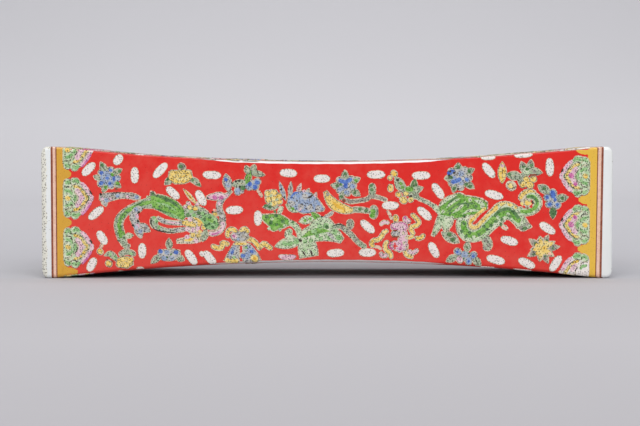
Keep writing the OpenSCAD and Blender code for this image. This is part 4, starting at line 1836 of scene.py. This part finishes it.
@dataclass
class Painting:
    """Enamel painting of the long faces: all motifs, gathered by enamel."""

    sheet: RuledSheet
    motifs: tuple[Motif, ...]
    # A mark reaches this far into the glaze, so that no gap shows under it
    rooted: float = 0.06 * MM
    reserve_height: float = 0.08 * MM
    outline_height: float = 0.09 * MM
    # How far a petal's own outline lies under it, as a share of a layer
    petal_drop: float = 0.45
    crown: float = 0.006 * MM
    # A stroke is long past this many places or this slimness, and broad past this width in squares
    long_places: int = 3
    long_slimness: float = 4
    broad_width: float = 12

    def __post_init__(self) -> None:
        """Draw every motif and model the brush marks, finer ones for what goes over an edge."""
        for motif in self.motifs:
            motif.draw()
        self.short_mark: Mark = BrushMark(steps=12).model()
        self.long_mark: Mark = BrushMark(steps=36).model()
        self.edge_mark: Mark = BrushMark(steps=20, lanes=8).model()
        self.broad_edge_mark: Mark = BrushMark(steps=24, lanes=30).model()
        self.ruled_mark: Mark = BrushMark(steps=120).model()

    def paint(self, face: Face) -> list[Piece]:
        """Paint one long face.

        Args:
            face: The long face.

        Returns:
            One piece for each enamel.
        """
        meshes = {enamel: EnamelMesh() for enamel in Enamel}
        for motif in self.motifs:
            for number, stroke in enumerate(motif.strokes):
                if self.sheet.past_edge(self.sheet.measure(np.array(stroke.spine, dtype=float))):
                    continue
                height = motif.height + number * motif.layer
                if stroke.halo:
                    stroke = stroke.underlay(stroke.enamel, -motif.inset, halo=True)
                    reserve = stroke.underlay(RESERVE, motif.margin)
                    meshes[RESERVE].add(*self.lay(reserve, self.reserve_height, face))
                if stroke.outlined:
                    outline = stroke.underlay(OUTLINE, motif.outline)
                    under = height - self.petal_drop * motif.layer
                    level = under if stroke.petal else self.outline_height
                    meshes[OUTLINE].add(*self.lay(outline, level, face))
                meshes[stroke.enamel].add(*self.lay(stroke, height, face))
        return [
            mesh.make(f"{face.name.lower()}_{enamel.value.name}", enamel)
            for enamel, mesh in meshes.items()
            if mesh.count
        ]

    def lay(self, stroke: Stroke, height: float, face: Face) -> Mark:
        """Copy a brush mark along a stroke.

        Args:
            stroke: The stroke, as drawn.
            height: How high its enamel stands.
            face: The long face that it goes on.

        Returns:
            Vertices and faces of the copy.
        """
        long = len(stroke.spine) > self.long_places or stroke.slimness() > self.long_slimness
        mark, faces = self.long_mark if long else self.short_mark
        measured = self.sheet.measure(stroke.spread(mark))
        if self.sheet.over_edge(measured, face):
            broad = max(stroke.widths) > self.broad_width
            fine_mark = self.broad_edge_mark if broad else self.edge_mark
            mark, faces = self.ruled_mark if stroke.ruled else fine_mark
            measured = self.sheet.measure(stroke.spread(mark))
        up = mark[:, 2]
        level = np.where(up > 0, height - self.crown * (1 - up), -self.rooted)
        return self.sheet.settle(measured, level, face), faces


@dataclass
class EndSlab:
    """A white end slab with the soft rim that clay takes from the wet sponge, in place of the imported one."""

    node: str
    side: int
    vent_bore: float = 0.0
    vent_sides: int = 64
    form: PillowForm = PillowForm()
    corner_round: float = 2.5 * MM
    corner_segments: int = 6
    # The rim is rounded more above and below, where hands and tables rub it, than at the front and back
    rim_round: float = 4 * MM
    side_round: float = 1.6 * MM
    rim_steps: int = 8
    # A narrow flat frame keeps the soft shading of the rim off the end face
    frame_width: float = 1 * MM

    def build(self, finish: Material) -> Piece:
        """Model the slab as a block with rounded corners, whose outer face is drawn out into a rim.

        Args:
            finish: Glaze of the slab.

        Returns:
            The slab, which rides on the pillow and stands for its node.
        """
        half = self.form.end_half
        inner = self.form.body_half
        flat = self.form.half_length - inner - self.rim_round
        bpy.ops.object.select_all(action="DESELECT")
        bpy.ops.mesh.primitive_cube_add(size=1)
        slab = bpy.context.object
        slab.name = f"rounded_{self.node}"
        bpy.ops.object.mode_set(mode="EDIT")
        bpy.ops.transform.resize(value=(flat, 2 * half, 2 * half))
        bpy.ops.transform.translate(value=(self.side * (inner + flat / 2), 0, half))
        select_only(slab, "EDGE", lambda ends: abs(ends[0].x - ends[1].x) > MM)
        bpy.ops.mesh.bevel(offset=self.corner_round, segments=self.corner_segments)
        select_only(slab, "FACE", lambda corners: min(self.side * end.x for end in corners) > inner + MM)
        self.draw_rim()
        if self.vent_bore:
            self.pierce(slab)
        finish_piece(slab, finish)
        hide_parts(self.node)
        return slab

    def draw_rim(self) -> None:
        """Draw the selected outer face out in small steps that follow a quarter circle."""
        half = self.form.end_half
        reach = 0.0
        deep = half
        high = half
        for step in range(1, self.rim_steps + 1):
            turn = math.radians(90 * step / self.rim_steps)
            further = self.rim_round * math.sin(turn) - reach
            bpy.ops.mesh.extrude_region_move(TRANSFORM_OT_translate={"value": (self.side * further, 0, 0)})
            narrow = (half - self.side_round * (1 - math.cos(turn))) / deep
            lower = (half - self.rim_round * (1 - math.cos(turn))) / high
            bpy.ops.transform.resize(value=(1, narrow, lower), center_override=(0, 0, half))
            reach += further
            deep *= narrow
            high *= lower
        bpy.ops.mesh.inset(thickness=self.frame_width)
        bpy.ops.object.mode_set(mode="OBJECT")

    def pierce(self, slab: Piece) -> None:
        """Bore the firing vent through the middle of the slab.

        Args:
            slab: The slab, in object mode.
        """
        bpy.ops.object.select_all(action="DESELECT")
        bpy.ops.mesh.primitive_cylinder_add(
            vertices=self.vent_sides,
            radius=self.vent_bore / 2,
            depth=4 * (self.form.half_length - self.form.body_half),
            location=(self.side * self.form.half_length, 0, self.form.end_half),
            rotation=(0, math.pi / 2, 0),
        )
        bore = bpy.context.object
        vent = slab.modifiers.new("vent", "BOOLEAN")
        vent.operation = "DIFFERENCE"
        vent.object = bore
        bpy.context.view_layer.objects.active = slab
        bpy.ops.object.modifier_apply(modifier=vent.name)
        bpy.data.objects.remove(bore)


@dataclass
class GlazedBody:
    """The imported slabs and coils, dressed as they left the kiln."""

    long_slabs: tuple[str, ...] = ("top_slab", "base_slab", "front_slab", "back_slab")
    sound_end: str = "right_end_slab"
    worn_end: str = "left_end_slab"
    # The left rim has lost its glaze over its outer half
    worn_x: float = -0.1768
    vent_bore: float = 9 * MM

    def dress(self) -> None:
        """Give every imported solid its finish, and round the rims of the two end slabs."""
        sound = PorcelainGlaze("clear_glazed_white_porcelain").material()
        worn = PorcelainGlaze("worn_glazed_white_porcelain", worn_x=self.worn_x).material()
        clay = BiscuitClay().material()
        finishes = {name: sound for name in (*self.long_slabs, self.sound_end)}
        finishes[self.worn_end] = worn
        for name, node in frame["nodes"].items():
            finish = finishes.get(name, clay)
            node.data.materials.clear()
            node.data.materials.append(finish)
            log.info("%s: %s", name, finish.name)
        left = EndSlab(self.worn_end, -1).build(worn)
        right = EndSlab(self.sound_end, 1, self.vent_bore).build(sound)
        for slab in (left, right):
            log.info("%s: %d faces", slab.name, len(slab.data.polygons))


@dataclass(frozen=True)
class Softbox:
    """Soft lamp: a lit rectangle that faces a target."""

    name: str
    place: Place
    size: Pair
    watts: float
    target: Place

    def hang(self) -> None:
        """Hang the lamp in its place, facing its target."""
        aim = (Vector(self.target) - Vector(self.place)).to_track_quat("-Z", "Y").to_euler()
        bpy.ops.object.light_add(type="AREA", location=self.place, rotation=aim)
        lamp = bpy.context.object
        lamp.name = self.name
        lamp.data.shape = "RECTANGLE"
        lamp.data.size, lamp.data.size_y = self.size
        lamp.data.energy = self.watts


@dataclass
class Studio:
    """Plain paper sweep, soft lamps and the camera."""

    width: float = 8.0
    front: float = 3.0
    back: float = 2.2
    rise: float = 3.0
    sweep: float = 0.9
    sweep_segments: int = 24
    lamps: tuple[Softbox, ...] = (
        Softbox("overhead_softbox", (0, -0.25, 1.2), (2.4, 1.8), 7.5, (0, 0, 0.04)),
        Softbox("front_softbox", (0, -1.6, 1.3), (2.8, 1.7), 33, (0, 0, 0.04)),
        Softbox("backdrop_softbox", (0, 0.7, 1.8), (2.4, 0.5), 16, (0, 2.1, 0.5)),
    )
    room_colour: str = "#f4f5f7"
    room_strength: float = 0.36
    camera_place: Place = (-0.0045, -0.9415, 0.081)
    camera_pitch: float = 2.53
    sensor_width: float = 36
    lens: float = 80.47

    def build(self) -> None:
        """Lay the paper, hang the lamps, light the room and place the camera."""
        self.lay_paper()
        for lamp in self.lamps:
            lamp.hang()
        self.light_room()
        self.place_camera()

    def lay_paper(self) -> None:
        """Model the paper: a floor whose far edge is drawn up into a backdrop, with a rounded sweep."""
        bpy.ops.object.select_all(action="DESELECT")
        bpy.ops.mesh.primitive_plane_add(size=1)
        paper = bpy.context.object
        paper.name = "paper_sweep"
        bpy.ops.object.mode_set(mode="EDIT")
        bpy.ops.transform.resize(value=(self.width, self.front + self.back, 1))
        bpy.ops.transform.translate(value=(0, (self.back - self.front) / 2, 0))
        far = self.back - MM
        select_only(paper, "EDGE", lambda ends: all(end.y > far for end in ends))
        bpy.ops.mesh.extrude_region_move(TRANSFORM_OT_translate={"value": (0, 0, self.rise)})
        select_only(paper, "EDGE", lambda ends: all(end.y > far and end.z < MM for end in ends))
        bpy.ops.mesh.bevel(offset=self.sweep, segments=self.sweep_segments)
        bpy.ops.object.mode_set(mode="OBJECT")
        bpy.ops.object.shade_smooth_by_angle(angle=SMOOTH_ANGLE)
        paper.data.materials.append(StudioPaper().material())

    def light_room(self) -> None:
        """Fill the room with a dim even light."""
        world = bpy.data.worlds.new("dim_room")
        world.use_nodes = True
        background = world.node_tree.nodes["Background"]
        background.inputs["Color"].default_value = linear(self.room_colour)
        background.inputs["Strength"].default_value = self.room_strength
        bpy.context.scene.world = world

    def place_camera(self) -> None:
        """Place the camera level with the top edge, tipped down a little."""
        tilt = math.radians(90 - self.camera_pitch)
        bpy.ops.object.camera_add(location=self.camera_place, rotation=(tilt, 0, 0))
        camera = bpy.context.object
        camera.data.sensor_width = self.sensor_width
        camera.data.lens = self.lens
        bpy.context.scene.camera = camera


def clear_startup() -> None:
    """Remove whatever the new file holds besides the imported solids."""
    kept = set(frame["nodes"].values()) | set(frame["bodies"].values())
    for thing in list(bpy.data.objects):
        if thing not in kept:
            bpy.data.objects.remove(thing)


def main() -> None:
    """Dress the slabs, paint the four long faces and set up the studio."""
    logging.basicConfig(level=logging.INFO, format="%(message)s")
    clear_startup()
    bpy.context.scene.view_settings.view_transform = "Standard"
    GlazedBody().dress()
    sheet = RuledSheet()
    ground = RedGround(sheet)
    right_collar = CloudCollar(base=589.5, toward=-1, middles=(176, 225, 273), pale=(273,), core=ROSE)
    painting = Painting(
        sheet,
        (
            EndBorders(), CloudCollar(), right_collar, WhiteSpots(), LeftSprays(), PhoenixTail(),
            PhoenixBody(), FirstEmblem(), MiddleSpray(), MiddleRight(), YellowGroup(), KnotEmblem(),
            DragonBody(), DragonHead(), DragonTail(), RightSprays(),
        ),
    )
    for face in Face:
        for piece in [ground.build(face), *painting.paint(face)]:
            log.info("%s: %d faces", piece.name, len(piece.data.polygons))
    Studio().build()


if __name__ == "__main__":
    main()
